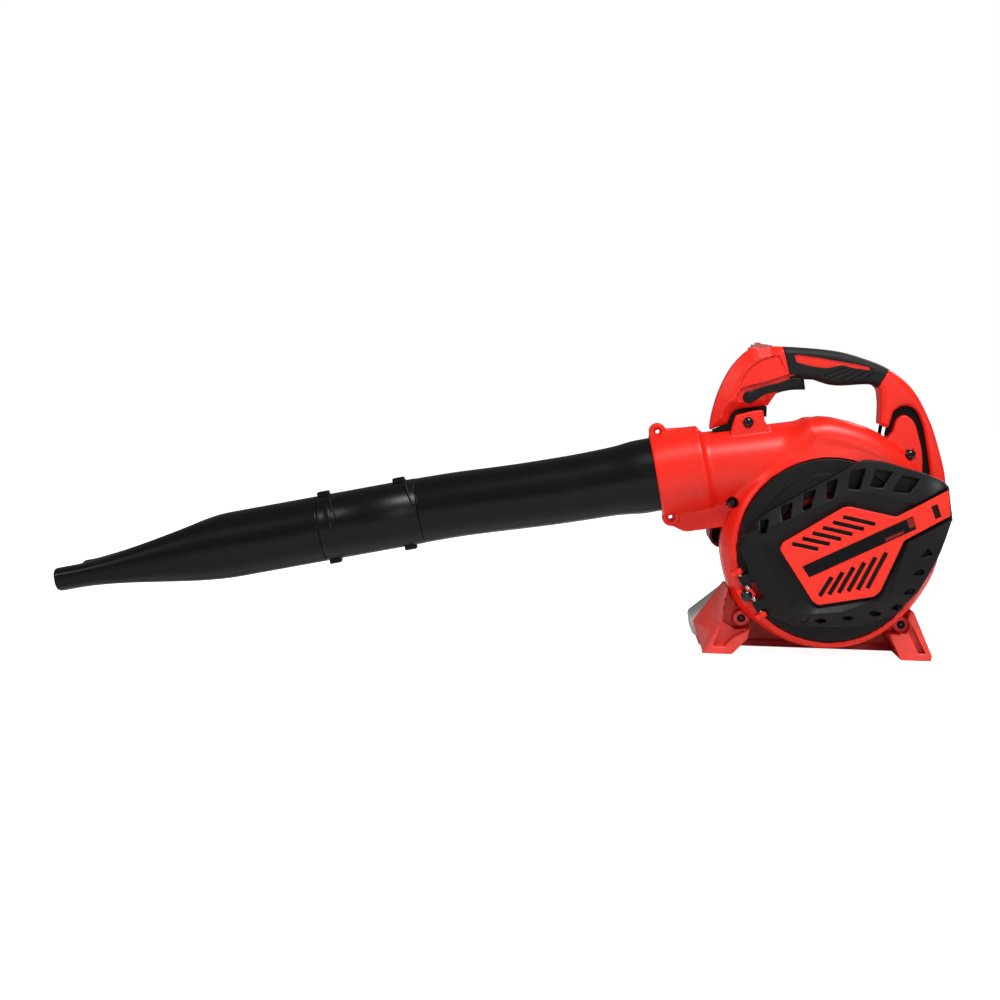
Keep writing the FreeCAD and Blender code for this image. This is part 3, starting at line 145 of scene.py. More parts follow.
def prism(face, y0, y1, rounding=0.0):
    middle, half = (y0 + y1) / 2, (y1 - y0) / 2

    def field(x, y, z):
        a = face(x, z) + rounding
        b = np.abs(y - middle) - half + rounding
        return rounded_edge(a, b, rounding)

    return field


def morph(low, high, y0, y1, rounding=0.0):
    def field(x, y, z):
        t = np.clip((y - y0) / (y1 - y0), 0, 1)
        a = low(x, z) * (1 - t) + high(x, z) * t + rounding
        b = np.abs(y - (y0 + y1) / 2) - (y1 - y0) / 2 + rounding
        return rounded_edge(a, b, rounding)

    return field


def slab(points, y0, y1, rounding=0.0):
    return prism(polygon(points), y0, y1, rounding)


def y_rod(x, z, radius, y0, y1, rounding=0.0):
    return prism(disc(x, z, radius), y0, y1, rounding)


def y_rods(places, radius, y0, y1, rounding=0.0):
    return [y_rod(x, z, radius, y0, y1, rounding) for x, z in places]


def rod(start, end, r0, r1=None, rounding=0.0):
    start, end = np.array(start, float), np.array(end, float)
    run = end - start
    length = np.linalg.norm(run)
    way = run / length
    r1 = r0 if r1 is None else r1

    def field(x, y, z):
        dx, dy, dz = x - start[0], y - start[1], z - start[2]
        t = dx * way[0] + dy * way[1] + dz * way[2]
        out = np.sqrt(np.maximum(dx * dx + dy * dy + dz * dz - t * t, 0))
        a = out - (r0 + (r1 - r0) * np.clip(t / length, 0, 1)) + rounding
        b = np.abs(t - length / 2) - length / 2 + rounding
        return rounded_edge(a, b, rounding)

    return field


def block(centre, half, axes=None, rounding=0.0):
    centre = np.array(centre, float)
    axes = np.eye(3) if axes is None else np.array(axes, float)

    def field(x, y, z):
        d = (x - centre[0], y - centre[1], z - centre[2])
        q = [np.abs(d[0] * a[0] + d[1] * a[1] + d[2] * a[2]) - h + rounding for a, h in zip(axes, half)]
        outside = np.sqrt(sum(np.maximum(v, 0) ** 2 for v in q))
        return outside + np.minimum(reduce(np.maximum, q), 0) - rounding

    return field


def ball(centre, radius):
    cx, cy, cz = centre
    return lambda x, y, z: np.sqrt((x - cx) ** 2 + (y - cy) ** 2 + (z - cz) ** 2) - radius


def through(points, steps=7):
    """Smooth open curve through the points."""
    p = np.array(points, float)
    p = np.vstack([2 * p[0] - p[1], p, 2 * p[-1] - p[-2]])
    out = []
    for a, b, c, d in zip(p, p[1:], p[2:], p[3:]):
        for t in np.arange(steps) / steps:
            out.append(0.5 * (2 * b + (c - a) * t + (2 * a - 5 * b + 4 * c - d) * t ** 2
                              + (3 * b - a - 3 * c + d) * t ** 3))
    out.append(p[-2])
    return [tuple(q) for q in out]


def eased_corners(points, radius, steps=5):
    """Closed outline with each corner rounded."""
    p = np.array(points, float)
    out = []
    for before, corner, after in zip(np.roll(p, 1, 0), p, np.roll(p, -1, 0)):
        a, b = before - corner, after - corner
        la, lb = np.linalg.norm(a), np.linalg.norm(b)
        reach = min(radius, la * 0.45, lb * 0.45)
        s, e = corner + a / la * reach, corner + b / lb * reach
        for t in np.linspace(0, 1, steps):
            out.append(tuple((1 - t) ** 2 * s + 2 * t * (1 - t) * corner + t * t * e))
    return out


# ---- meshes
CORNERS = [(i, j, k) for i in (0, 1) for j in (0, 1) for k in (0, 1)]
CELL_EDGES = [(a, b) for a in CORNERS for b in CORNERS
              if sum(b) == sum(a) + 1 and all(q >= p for p, q in zip(a, b))]


def skin(field, low, high, step):
    """Quads and vertex normals of a distance field's surface inside a box."""
    low, high = np.array(low, float), np.array(high, float)
    counts = np.ceil((high - low) / step).astype(int) + 1
    grid = [low[d] + step * np.arange(counts[d]) for d in range(3)]
    values = field(grid[0][:, None, None], grid[1][None, :, None], grid[2][None, None, :])
    values = np.broadcast_to(values, counts).astype(np.float32)
    inside = values < 0
    total = sum(inside[i:counts[0] - 1 + i, j:counts[1] - 1 + j, k:counts[2] - 1 + k].astype(np.int8)
                for i, j, k in CORNERS)
    active = (total > 0) & (total < 8)
    cells = np.argwhere(active)
    index = np.full(active.shape, -1, np.int64)
    index[active] = np.arange(len(cells))
    place, hits = np.zeros((len(cells), 3)), np.zeros(len(cells))
    for a, b in CELL_EDGES:
        va = values[cells[:, 0] + a[0], cells[:, 1] + a[1], cells[:, 2] + a[2]].astype(float)
        vb = values[cells[:, 0] + b[0], cells[:, 1] + b[1], cells[:, 2] + b[2]].astype(float)
        crossing = (va < 0) != (vb < 0)
        t = np.where(crossing, va / np.where(crossing, va - vb, 1), 0)
        place += (np.array(a) + t[:, None] * (np.array(b) - np.array(a))) * crossing[:, None]
        hits += crossing
    points = low + step * (cells + place / hits[:, None])
    quads = []
    for d in range(3):
        e, f = (d + 1) % 3, (d + 2) % 3
        first = [slice(None)] * 3
        second = [slice(None)] * 3
        first[d], second[d] = slice(0, -1), slice(1, None)
        for other in (e, f):
            first[other] = second[other] = slice(1, -1)
        starts, ends = inside[tuple(first)], inside[tuple(second)]
        for flip in (False, True):
            where = np.argwhere((starts & ~ends) if not flip else (~starts & ends))
            where[:, e] += 1
            where[:, f] += 1
            around = []
            for de, df in ((1, 1), (0, 1), (0, 0), (1, 0)):
                at = where.copy()
                at[:, e] -= de
                at[:, f] -= df
                around.append(index[at[:, 0], at[:, 1], at[:, 2]])
            quads.append(np.stack(around[::-1] if flip else around, axis=1))
    quads = np.vstack(quads)
    for _ in range(2):
        value, slope = slopes(field, points, step * 0.05)
        size = np.maximum((slope ** 2).sum(1), 0.05)
        move = -slope * (value / size)[:, None]
        far = np.linalg.norm(move, axis=1)
        points = points + move * np.minimum(1, step * 0.5 / np.maximum(far, 1e-9))[:, None]
    normals = slopes(field, points, step * 0.12)[1]
    normals /= np.maximum(np.linalg.norm(normals, axis=1), 1e-9)[:, None]
    return points, quads, normals


def slopes(field, points, reach):
    """Value of the field at each point, and its slope by forward differences."""
    x, y, z = points.T
    middle = field(x, y, z)
    ahead = [field(x + reach, y, z), field(x, y + reach, z), field(x, y, z + reach)]
    return middle, (np.stack(ahead, axis=1) - middle[:, None]) / reach


def linked(name, data):
    """New object, placed in the scene."""
    obj = bpy.data.objects.new(name, data)
    bpy.context.scene.collection.objects.link(obj)
    return obj


def add_object(name, points, faces, body, slot, material, nodes=(), normals=None):
    points = (np.asarray(points, float) + SHIFT) / 1000
    mesh = bpy.data.meshes.new(name)
    mesh.from_pydata(points.tolist(), [], [tuple(f) for f in np.asarray(faces).tolist()]
                     if isinstance(faces, np.ndarray) else faces)
    mesh.polygons.foreach_set("use_smooth", [True] * len(mesh.polygons))
    mesh.materials.append(material)
    if normals is not None:
        mesh.normals_split_custom_set_from_vertices(normals.tolist())
    mesh.update()
    obj = linked(name, mesh)
    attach(obj, body)
    if nodes:
        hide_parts(*nodes)


def moulded(name, field, low, high, step, body, slot, material, nodes=()):
    points, quads, normals = skin(field, low, high, step)
    add_object(name, points, quads, body, slot, material, nodes, normals)


# ---- materials
def set_inputs(node, values):
    for name, value in values.items():
        node.inputs[name].default_value = value


def material(name, colour, roughness, grain=0.0, grain_scale=900.0, mottle=0.0, mottle_scale=14.0,
             wear=0.06, metallic=0.0, coat=0.0, streak=None, transmission=0.0, dark=None, waves=0.0,
             specular=0.4):
    """Procedural surface: mottled colour, uneven roughness and a fine moulded or cast grain."""
    made = bpy.data.materials.new(name)
    made.use_nodes = True
    tree = made.node_tree
    nodes, links = tree.nodes, tree.links
    shader = nodes["Principled BSDF"]
    set_inputs(shader, {"Metallic": metallic, "Coat Weight": coat, "Coat Roughness": 0.12,
                        "Transmission Weight": transmission, "Specular IOR Level": specular})
    place = nodes.new("ShaderNodeTexCoord")
    source = place.outputs["Object"]
    if streak:
        mapping = nodes.new("ShaderNodeMapping")
        set_inputs(mapping, {"Scale": streak, "Rotation": (0, -TILT, 0)})
        links.new(source, mapping.inputs["Vector"])
        source = mapping.outputs["Vector"]

    def noise(scale, detail=3.0):
        node = nodes.new("ShaderNodeTexNoise")
        set_inputs(node, {"Scale": scale, "Detail": detail})
        links.new(source, node.inputs["Vector"])
        return node.outputs["Fac"]

    def bump(strength, distance, scale, detail):
        node = nodes.new("ShaderNodeBump")
        set_inputs(node, {"Strength": strength, "Distance": distance})
        links.new(noise(scale, detail), node.inputs["Height"])
        return node

    tone = nodes.new("ShaderNodeValToRGB")
    low = dark or [c * (1 - mottle) for c in colour]
    high = [min(1.0, c * (1 + mottle * 0.6)) for c in colour]
    tone.color_ramp.elements[0].position, tone.color_ramp.elements[1].position = 0.32, 0.68
    tone.color_ramp.elements[0].color = (*low, 1)
    tone.color_ramp.elements[1].color = (*high, 1)
    links.new(noise(mottle_scale, 5.0), tone.inputs["Fac"])
    links.new(tone.outputs["Color"], shader.inputs["Base Color"])
    span = nodes.new("ShaderNodeMapRange")
    set_inputs(span, {"To Min": max(0.02, roughness - wear), "To Max": min(1.0, roughness + wear)})
    links.new(noise(mottle_scale * 5, 4.0), span.inputs["Value"])
    links.new(span.outputs["Result"], shader.inputs["Roughness"])
    if grain > 0:
        fine = bump(grain, 0.00012, grain_scale, 2.0)
        if waves > 0:
            links.new(bump(waves, 0.0006, 38.0, 1.0).outputs["Normal"], fine.inputs["Normal"])
        links.new(fine.outputs["Normal"], shader.inputs["Normal"])
    return made


RED = material("red_moulded", (0.82, 0.017, 0.007), 0.36, 0.3, 1500, 0.06, 9.0, waves=0.03, specular=0.34)
RED_PANEL = material("red_panel", (0.86, 0.024, 0.01), 0.35, 0.2, 1300, 0.05, 12.0, specular=0.34)
RED_DEEP = material("red_deep", (0.2, 0.005, 0.004), 0.42, 0.4, 1300, 0.1, 12.0, specular=0.3)
RED_STAND = material("red_stand", (0.8, 0.045, 0.03), 0.42, 0.8, 1100, 0.14, 60.0, specular=0.55)
CHARCOAL = material("charcoal_cover", (0.0045, 0.0043, 0.0044), 0.44, 0.4, 1500, 0.12, 16.0, specular=0.2)
TUBE = material("tube_black", (0.004, 0.0038, 0.004), 0.31, 0.12, 700, 0.15, 5.0, wear=0.08,
                streak=(0.25, 1, 1), waves=0.05, specular=0.2)
GRIP = material("grip_black", (0.006, 0.0058, 0.0058), 0.55, 0.8, 1300, 0.15, 22.0, specular=0.24)
BLACK = material("black_moulded", (0.004, 0.004, 0.0042), 0.4, 0.5, 1200, 0.12, 18.0, specular=0.22)
RUBBER = material("rubber_black", (0.0045, 0.0044, 0.0043), 0.7, 0.7, 900, 0.2, 26.0, specular=0.12)
BLACK_SCREW = material("screw_black", (0.008, 0.008, 0.0085), 0.18, 0.12, 2400, 0.2, 90.0,
                       metallic=0.6, coat=0.6)
LABEL = material("plate_black", (0.002, 0.002, 0.0022), 0.3, 0.03, 600, 0.1, 20.0, wear=0.03, specular=0.14)
STEEL = material("steel_bright", (0.56, 0.56, 0.55), 0.28, 0.3, 1600, 0.12, 60.0, metallic=1.0)
SPRING = material("spring_plated", (0.78, 0.78, 0.77), 0.16, 0.1, 1600, 0.05, 60.0, metallic=1.0)
CAST = material("aluminium_cast", (0.47, 0.47, 0.465), 0.5, 1.0, 950, 0.18, 40.0, metallic=0.9)
GREY_NYLON = material("nylon_grey", (0.075, 0.076, 0.08), 0.5, 0.6, 800, 0.15, 30.0)
HOT_STEEL = material("muffler_steel", (0.17, 0.15, 0.135), 0.48, 0.6, 700, 0.35, 24.0, metallic=0.85,
                     dark=(0.075, 0.05, 0.04))
TANK = material("tank_milky", (0.80, 0.79, 0.72), 0.34, 0.3, 700, 0.05, 16.0, transmission=0.35)
FOAM = material("filter_foam", (0.10, 0.095, 0.08), 0.95, 1.0, 480, 0.45, 330.0)
CLEAR = material("primer_clear", (0.78, 0.74, 0.6), 0.14, 0.08, 500, 0.06, 60.0, transmission=0.7)
CERAMIC = material("insulator_white", (0.8, 0.79, 0.76), 0.2, 0.1, 500, 0.06, 60.0, coat=0.5)
SWITCH_GREY = material("switch_grey", (0.17, 0.17, 0.175), 0.45, 0.5, 1200, 0.1, 40.0)
ROPE = material("starter_rope", (0.03, 0.03, 0.032), 0.85, 1.0, 1500, 0.4, 700.0)


# ---- fan housing
# Outlines are (x, z) corners; SCROLL is (angle in degrees, radius) about the shaft.
SCROLL = [(152, 121), (180, 124.5), (210, 125), (232, 120), (256, 117.5), (285, 117), (315, 118),
          (340, 124), (362, 131.5), (385, 137), (409, 142), (430, 148), (450, 153.5), (462, 154)]


def scroll(inset):
    return polygon(through([((r - inset) * math.cos(math.radians(a)),
                             SHAFT_Z + (r - inset) * math.sin(math.radians(a))) for a, r in SCROLL], 5))


def scroll_room():
    """The fan's room inside the scroll."""
    return prism(scroll(HOUSING_WALL), COVER_SEAT + HOUSING_WALL, BACK_FACE - HOUSING_WALL, 22)


def collar_axis(x, lift=0.0):
    return (x, 0, 201.5 + lift + (x + 222) * math.tan(TILT))


def lean_box(x0, z0, x1, z1, width, y0, y1, rounding=0.0):
    """Bar in a plane of constant Y, between two points."""
    way = np.array([x1 - x0, 0, z1 - z0], float)
    length = np.linalg.norm(way)
    way /= length
    return block(((x0 + x1) / 2, (y0 + y1) / 2, (z0 + z1) / 2), (length / 2, (y1 - y0) / 2, width / 2),
                 (way, (0, 1, 0), (-way[2], 0, way[0])), rounding)


REAR_TONGUE = (through([(107, 222), (105.5, 244), (101, 262), (95, 279), (84, 287), (75, 281), (71, 268)], 6)
               + [(62, 254), (70, 225), (106, 203)])
FRONT_LUG = [(-120, 250), (-116.5, 268), (-112.6, 281), (-92, 286.6), (-81, 288), (-79, 276), (-70, 262)]
FLANGE = [(-193, 156), (-190, 150.5), (-170, 141.5), (-164, 140.5), (-115, 149), (-98, 181), (-102, 190),
          (-130, 200), (-190, 196)]
HOUSING_SCREWS = [(-113, 178, -18.0), (-98, 273, -26.0), (92, 241, -26.0)]  # x, z and the head's top
CLAMP_LUGS = [(-203, 258), (-184, 157)]
STAND_SCREWS = [(-97, 41), (91, 40)]
ENGINE_BOLTS = [(-52, 98), (52, 98), (-52, 158), (52, 158)]
STAND_ARMS = [[(-103, 33), (-91, 47), (-80, 60), (-88, 66)], [(97, 33), (85, 47), (74, 58), (83, 66)]]
COLLAR_BACK = -146.0


def housing_outside():
    body = blend(7, prism(scroll(0), FRONT_FACE, BACK_FACE, 25), y_rod(0, SHAFT_Z, 116, -50, 20, 9))
    duct = union(rod((COLLAR_BACK - 6, 0, 214.8), (-20, 0, 233.3), 43.4, 45.4),
                 rod((-20, 0, 233.3), (70, 0, 222), 45.4, 30))
    body = blend(9, body, duct)
    collar = rod(collar_axis(-203.5), collar_axis(COLLAR_BACK), 50, 50, 3.4)
    body = blend(9, body, collar)
    details = y_rods(CLAMP_LUGS, 10.2, -12, 12, 1.6)
    details += [slab([(-205, 262), (-194, 262), (-163, 265), (-155, 262), (-152, 250), (-205, 240)],
                     -6, 6, 1.6),
                slab(FLANGE, -9.6, 9.6, 1.6), y_rod(-113, 178, 9.4, -18, 0, 1.5),
                slab(FRONT_LUG, -26, 19.2, 1.6), slab(REAR_TONGUE, -26, 19.2, 1.6)]
    return blend(1.6, body, *details)


def housing():
    body = housing_outside()
    holes = [y_rod(x, z, 7.0, head - 30, head + 0.6) for x, z, head in HOUSING_SCREWS]
    holes += [y_rod(x, z, SCREW_HOLE, head - 30, 30) for x, z, head in HOUSING_SCREWS]
    holes += y_rods(CLAMP_LUGS, CLAMP_HOLE, -60, 60)
    holes += y_rods(CLAMP_LUGS, 5.2, -60, -9)
    hollow = union(scroll_room(), rod((COLLAR_BACK - 3, 0, 215.4), (-20, 0, 233.3), 40.2, 37.2),
                   rod(collar_axis(-215, 1.9), collar_axis(-180, 1.9), 44.4),
                   rod(collar_axis(-181, 1.9), collar_axis(-146, 1.9), 40.0))
    body = cut(body, hollow, *holes)
    seat = y_rod(0, SHAFT_Z, 107.7, -60, COVER_SEAT)
    return cut(body, seat, y_rod(0, SHAFT_Z, 58, -60, -30), y_rod(0, SHAFT_Z, 24, 30, 60))


def hinge_bar(first, last, in0, in1, y0, y1, rounding=0.6):
    centre = HINGE_MID + HINGE_ALONG * (first + last) / 2 + HINGE_INWARD * (in0 + in1) / 2
    centre[1] += (y0 + y1) / 2
    return block(centre, ((last - first) / 2, (in1 - in0) / 2, (y1 - y0) / 2),
                 (HINGE_ALONG, HINGE_INWARD, (0, 1, 0)), rounding)


def hinge_rod(first, last, radius, rounding=0.0):
    return rod(HINGE_MID + HINGE_ALONG * first, HINGE_MID + HINGE_ALONG * last, radius, radius, rounding)


HINGE_SCREW_HOLE = y_rod(HINGE_SCREW[0], HINGE_SCREW[2], SCREW_HOLE, -90, -36)


def build_housing():
    shell = housing()
    near = both(shell, below_y(-HALF_GAP))
    post = block((115.5, -51, 178), (2.5, 9, 4), rounding=0.5)
    lugs = []
    for start in (-32.0, 25.5):
        end = start + 6.5
        lug = blend(1.5, hinge_bar(start, end, -9, 2.5, -2.5, 16, 0.8), hinge_rod(start, end, 4.6, 0.5))
        lugs.append(cut(lug, y_rod(0, SHAFT_Z, 102, -60, -40)))
    near = cut(blend(1.2, near, post, *lugs), hinge_rod(-40, 40, HINGE_PIN_R), HINGE_SCREW_HOLE)
    moulded("housing_inlet_side", near, (-218, -63, 8), (142, 0.5, 290), 1.6, "frame", "red_plastic", RED,
            ["fan_housing_inlet_half"])
    far = both(shell, above_y(HALF_GAP))
    bosses = y_rods(STAND_SCREWS, 8, 2, 24, 1)
    arms = [slab(arm, 4, 22, 1.5) for arm in STAND_ARMS]
    holes = y_rods(STAND_SCREWS, SCREW_HOLE, 0, 30)
    holes += y_rods(ENGINE_BOLTS, CLAMP_HOLE, 30, 60)
    far = cut(blend(2.5, far, cut(union(*bosses, *arms), scroll_room())), *holes)
    moulded("housing_engine_side", far, (-218, -0.5, 8), (142, 53, 290), 1.9, "frame", "red_plastic", RED,
            ["fan_housing_engine_half"])


# ---- inlet cover
RAISED = [(-103, 148), (-77, 171), (5, 219), (23, 231), (36, 235.5), (57, 233.5), (103, 222), (126, 213),
          (131, 207), (136, 174), (136, 166), (131, 148), (125, 130), (119, 116), (102, 84), (80, 58),
          (45, 43), (14, 37), (-40, 38), (-70, 52), (-84, 70), (-92, 95), (-104, 128)]
RIDGE = [(-97, 146), (-63, 160), (21, 197), (27, 199), (44, 198), (93, 187), (128, 207.5), (150, 222),
         (150, 168), (133, 168.5), (86, 141), (68, 80), (50, 72), (15, 59), (-30, 54), (-44, 60),
         (-64, 98), (-82, 124)]
PANEL_ROOM = [(-61, 129), (-58, 138), (11, 181.2), (19, 182.2), (71.7, 172.2), (150, 217), (150, 183),
              (83, 143.5), (57.9, 83.4), (50.4, 77), (-13.3, 64.8), (-21, 69.5)]
PANEL = [(-60, 129), (-57, 137), (11, 180), (19, 181), (72, 171), (130, 204), (133.5, 174), (82, 144),
         (57, 84), (50, 78), (-13, 66), (-20, 70)]
LABEL_BAND = [(-33, 110), (-25, 98), (95, 158), (90, 172)]
TOP_VENTS = [[(-83, 147), (-77, 147), (-74, 163), (-83, 161)],
             [(-58, 162), (-50, 165), (-47, 183), (-60, 178)],
             [(-35, 175), (-27, 178), (-21, 199), (-34, 194)],
             [(-8, 189), (-2, 190), (4, 212), (-8, 208)], [(16, 202), (28, 201), (35, 225), (19, 221)],
             [(41, 205), (54, 204), (66, 222), (48, 224)], [(67, 200), (85, 199), (97, 215), (78, 218)]]
LOW_VENTS = [[(110, 136), (116, 128), (102, 125)], [(101, 111), (107, 110), (105, 104), (94, 105)],
             [(91, 88), (98, 88), (96, 82), (84, 82)], [(72, 64), (75, 68), (80, 69), (87, 66), (81, 62)],
             [(45, 58), (51, 61), (61, 58), (55, 54)], [(15, 52), (22, 54), (29, 51), (21, 49)],
             [(-16, 47), (-9, 50), (-2, 47), (-10, 44)]]
DISC_FRONT = 53.4
RIDGE_DEPTH = 75.6
RECESS_DEPTH = 68.6


def cover_height():
    outer, ridge, room = polygon(RAISED), polygon(RIDGE), polygon(PANEL_ROOM)

    def share(near, far):
        return np.clip(near / np.maximum(near + far, 0.01), 0, 1)

    def height(x, z):
        a, b, c = -outer(x, z), ridge(x, z), room(x, z)
        drop = np.clip((105 - z) / 60, 0, 1)
        rim = 66.0 - 8.5 * drop * drop * (3 - 2 * drop)
        crest = RIDGE_DEPTH - 0.8 * drop
        climb = rim + (crest - rim) * share(a, np.maximum(b, 0))
        fall = RECESS_DEPTH + (crest - RECESS_DEPTH) * share(np.maximum(c, 0), np.maximum(-b, 0))
        return np.where(b > 0, climb, fall)

    return height


def grow_face(face, amount):
    return lambda x, z: face(x, z) - amount


def soft_both(radius, a, b):
    return lambda x, y, z: -soft_min(-a(x, y, z), -b(x, y, z), radius)


def panel_room(margin, y0, y1):
    """The red panel's recess, widened by a margin."""
    return prism(grow_face(polygon(PANEL_ROOM), margin), y0, y1)


def cover_shell():
    height = cover_height()
    outer = polygon(eased_corners(RAISED, 5))
    inner_face = grow_face(outer, -2.6)

    def top(x, y, z):
        return (-y - height(x, z)) * 0.86

    def under(x, y, z):
        return (-y - height(x, z) + 2.6) * 0.86

    raised = soft_both(1.6, prism(outer, -90, -50.6), top)
    dome = union(y_rod(0, SHAFT_Z, 106.5, -DISC_FRONT, -49.6, 1.2),
                 rod((0, -DISC_FRONT - 3.2, SHAFT_Z), (0, -50, SHAFT_Z), 74, 107, 0.4),
                 y_rod(0, SHAFT_Z, 88.5, -54.9, -50, 0.3))
    hollow = both(prism(inner_face, -90, -40), under)
    shell = cut(blend(1.6, raised, dome), hollow, y_rod(0, SHAFT_Z, 76, -54.2, -40))
    floor_ring = cut(y_rod(0, SHAFT_Z, 106, -52.8, -50.2), y_rod(0, SHAFT_Z, 66, -60, -40))
    # Black sheet inside the cover behind the vents: painted shade that hides the red housing, so the vents
    # look dark inside
    painted_shade_sheet = cut(prism(inner_face, -58.6, -56.4), y_rod(0, SHAFT_Z, 100, -70, -40),
                hinge_bar(-40, 40, -30, 22, -30, 30, 0))
    shell = union(shell, floor_ring, painted_shade_sheet)
    shell = cut(shell, slab(PANEL_ROOM, -90, -69.2))
    whole = prism(outer, -90, -40)
    border = both(panel_room(2.4, -75, -66.6), whole, top)
    ledge = cut(both(panel_room(2.4, -69, -66.6), whole), panel_room(-5, -80, -60))
    ribs = [both(slab(p, -69, -66.6), panel_room(1, -80, -60), whole)
            for p in ([(-40, 60), (-35, 60), (104, 208), (98, 208)],
                      [(-64, 140), (-62, 135), (80, 96), (82, 101)])]
    shell = union(shell, cut(border, slab(PANEL_ROOM, -90, -60)), ledge, *ribs)
    vents = [slab(eased_corners(v, 1.4), -90, -60) for v in TOP_VENTS + LOW_VENTS]
    shell = soft_cut(1.6, shell, *vents)
    shell = cut(shell, hinge_bar(-30, 30, -30, 4, -30, 20, 0), hinge_bar(-11, 11, -30, 11, -30, 20, 0))
    knuckles = []
    for start in (-23.0, 11.0):
        end = start + 12
        knuckles += [hinge_rod(start, end, 4.8, 0.6), hinge_bar(start, end, 1.5, 19, -4.4, 3.4),
                     hinge_bar(start, end, 4.5, 16, 3.0, 7.6)]
    shell = union(shell, *knuckles)
    room = block((116, -58.75, 179.75), (9, 10.35, 10.75))
    return cut(shell, hinge_rod(-30, 30, 1.55), room)


def slanted_slot(x, z, run_x, run_z, width):
    return lean_box(x, z, x + run_x, z + run_z, width, -80, -60, 0.5)


def cover_panel():
    panel = slab(eased_corners(PANEL, 2.5), -73.6, -69.3, 1.0)
    slots = []
    for k in range(6):
        slots.append(slanted_slot(-46 + 11.4 * k, 136 + 6.6 * k, 30 + 1.4 * k, -5.3 - 0.4 * k, 4.6))
        slots.append(slanted_slot(1 + 12.2 * k, 99 + 6.1 * k, -13 - 1.4 * k, -22.5 - 3.9 * k, 5.0))
    band = slab(LABEL_BAND, -80, -72.7)
    catch = slab([(111, 184), (117.5, 187.5), (123, 173), (116.5, 169.5)], -80, -60)
    return soft_cut(0.5, panel, band, catch, *slots)


def build_cover():
    moulded("inlet_cover_shell", cover_shell(), (-110, -77, 18), (139, -49, 240), 1.34, "cover",
            "cover_plastic", CHARCOAL, ["inlet_cover"])
    moulded("inlet_cover_grille", cover_panel(), (-63, -74.5, 63), (136, -68.5, 206), 0.72, "cover",
            "panel_red", RED_PANEL, ["inlet_cover_panel"])
    plate = slab([(-33.6, 109.9), (-24.9, 98.1), (94.8, 158.0), (89.9, 171.9)], -73.9, -72.75, 0.25)
    moulded("name_plate", plate, (-34, -74.2, 97), (97, -72, 173), 0.6, "cover", "label_black", LABEL,
            ["cover_label_plate"])
    accents = [[(60, 142), (80.5, 152), (81, 156), (60, 146)], [(83, 168.5), (91, 171), (94, 161), (87, 158)]]
    for i, corners in enumerate(accents):
        moulded(f"name_plate_accent_{i}", slab(corners, -74.1, -73.1, 0.1), (58, -74.6, 140),
                (96, -72.6, 173), 0.4, "cover", "panel_red", RED_DEEP)


# ---- stand
def build_stand():
    front = morph(polygon([(-143, 0), (-108, 0), (-90, 19), (-84, 44), (-96, 78), (-116, 78), (-122, 36)]),
                  polygon([(-141, 0), (-108, 0), (-90, 19), (-84, 44), (-96, 78), (-116, 78), (-151, 28)]),
                  STAND_FRONT, STAND_BACK, 1.2)
    rear = slab([(90, 0), (125, 0), (126, 6), (103, 57), (92, 66), (80, 50), (76, 27), (84, 13)],
                STAND_FRONT, STAND_BACK, 1.2)
    parts = [front, rear]
    for low, high in ((-143, -106), (88, 125)):
        parts += [block(((low + high) / 2, 95, 4), ((high - low) / 2, 55, 4), rounding=1.2),
                  block(((low + high) / 2, 144, 15), ((high - low) / 2, 6, 15), rounding=2)]
    parts += [block((-10, y + 4, 4), (110, 4, 4), rounding=1.2) for y in (40, 142)]
    parts.append(block((-10, 45, 19), (108, 2, 15), rounding=0.8))
    body = blend(2, *parts)
    around = prism(scroll(-0.6), -52, 50)
    rooms = [slab([(-130, 9), (-117, 9), (-105, 21), (-93, 28), (-97, 44), (-112, 50), (-121, 36)], -50, -24),
             slab([(-120, 38), (-104, 28), (-89, 30), (-82, 42), (-94, 84), (-113, 84), (-118, 60)], -50, -7),
             slab([(110, 9), (118, 9), (101, 41), (95, 38)], -50, -26),
             slab([(72, 32), (86, 30), (95, 40), (98, 62), (90, 70), (76, 60)], -50, -7),
             slab([(-130, 8), (-120, 30), (-112, 62), (-102, 62), (-96, 30), (-110, 8)], -4, 60, 3),
             slab([(96, 8), (86, 26), (90, 52), (98, 50), (116, 8)], -4, 60, 3)]
    rooms += y_rods(STAND_SCREWS, 8.6, -45, -18)
    body = soft_cut(1.0, body, around, *rooms)
    ears = y_rods(STAND_SCREWS, 9.5, -18, 1.6, 0.8)
    ears += [slab([(-112, 30), (-90, 27), (-96, 52), (-118, 56)], -6, 1.6, 0.6),
             slab([(104, 28), (84, 28), (86, 54), (106, 46)], -6, 1.6, 0.6)]
    body = blend(1.5, body, cut(union(*ears), around))
    bosses = y_rods(STAND_SCREWS, 8.4, 1.6, 24.5)
    arms = [prism(grow_face(polygon(arm), 0.4), 3.6, 22.4) for arm in STAND_ARMS]
    body = cut(body, *y_rods(STAND_SCREWS, SCREW_HOLE, -30, 50), *bosses, *arms)
    body = both(body, lambda x, y, z: 0.02 - z)
    moulded("stand_frame", body, (-153, -40, -1), (128, 151.5, 80), 1.5, "frame", "stand_plastic",
            RED_STAND, ["stand"])


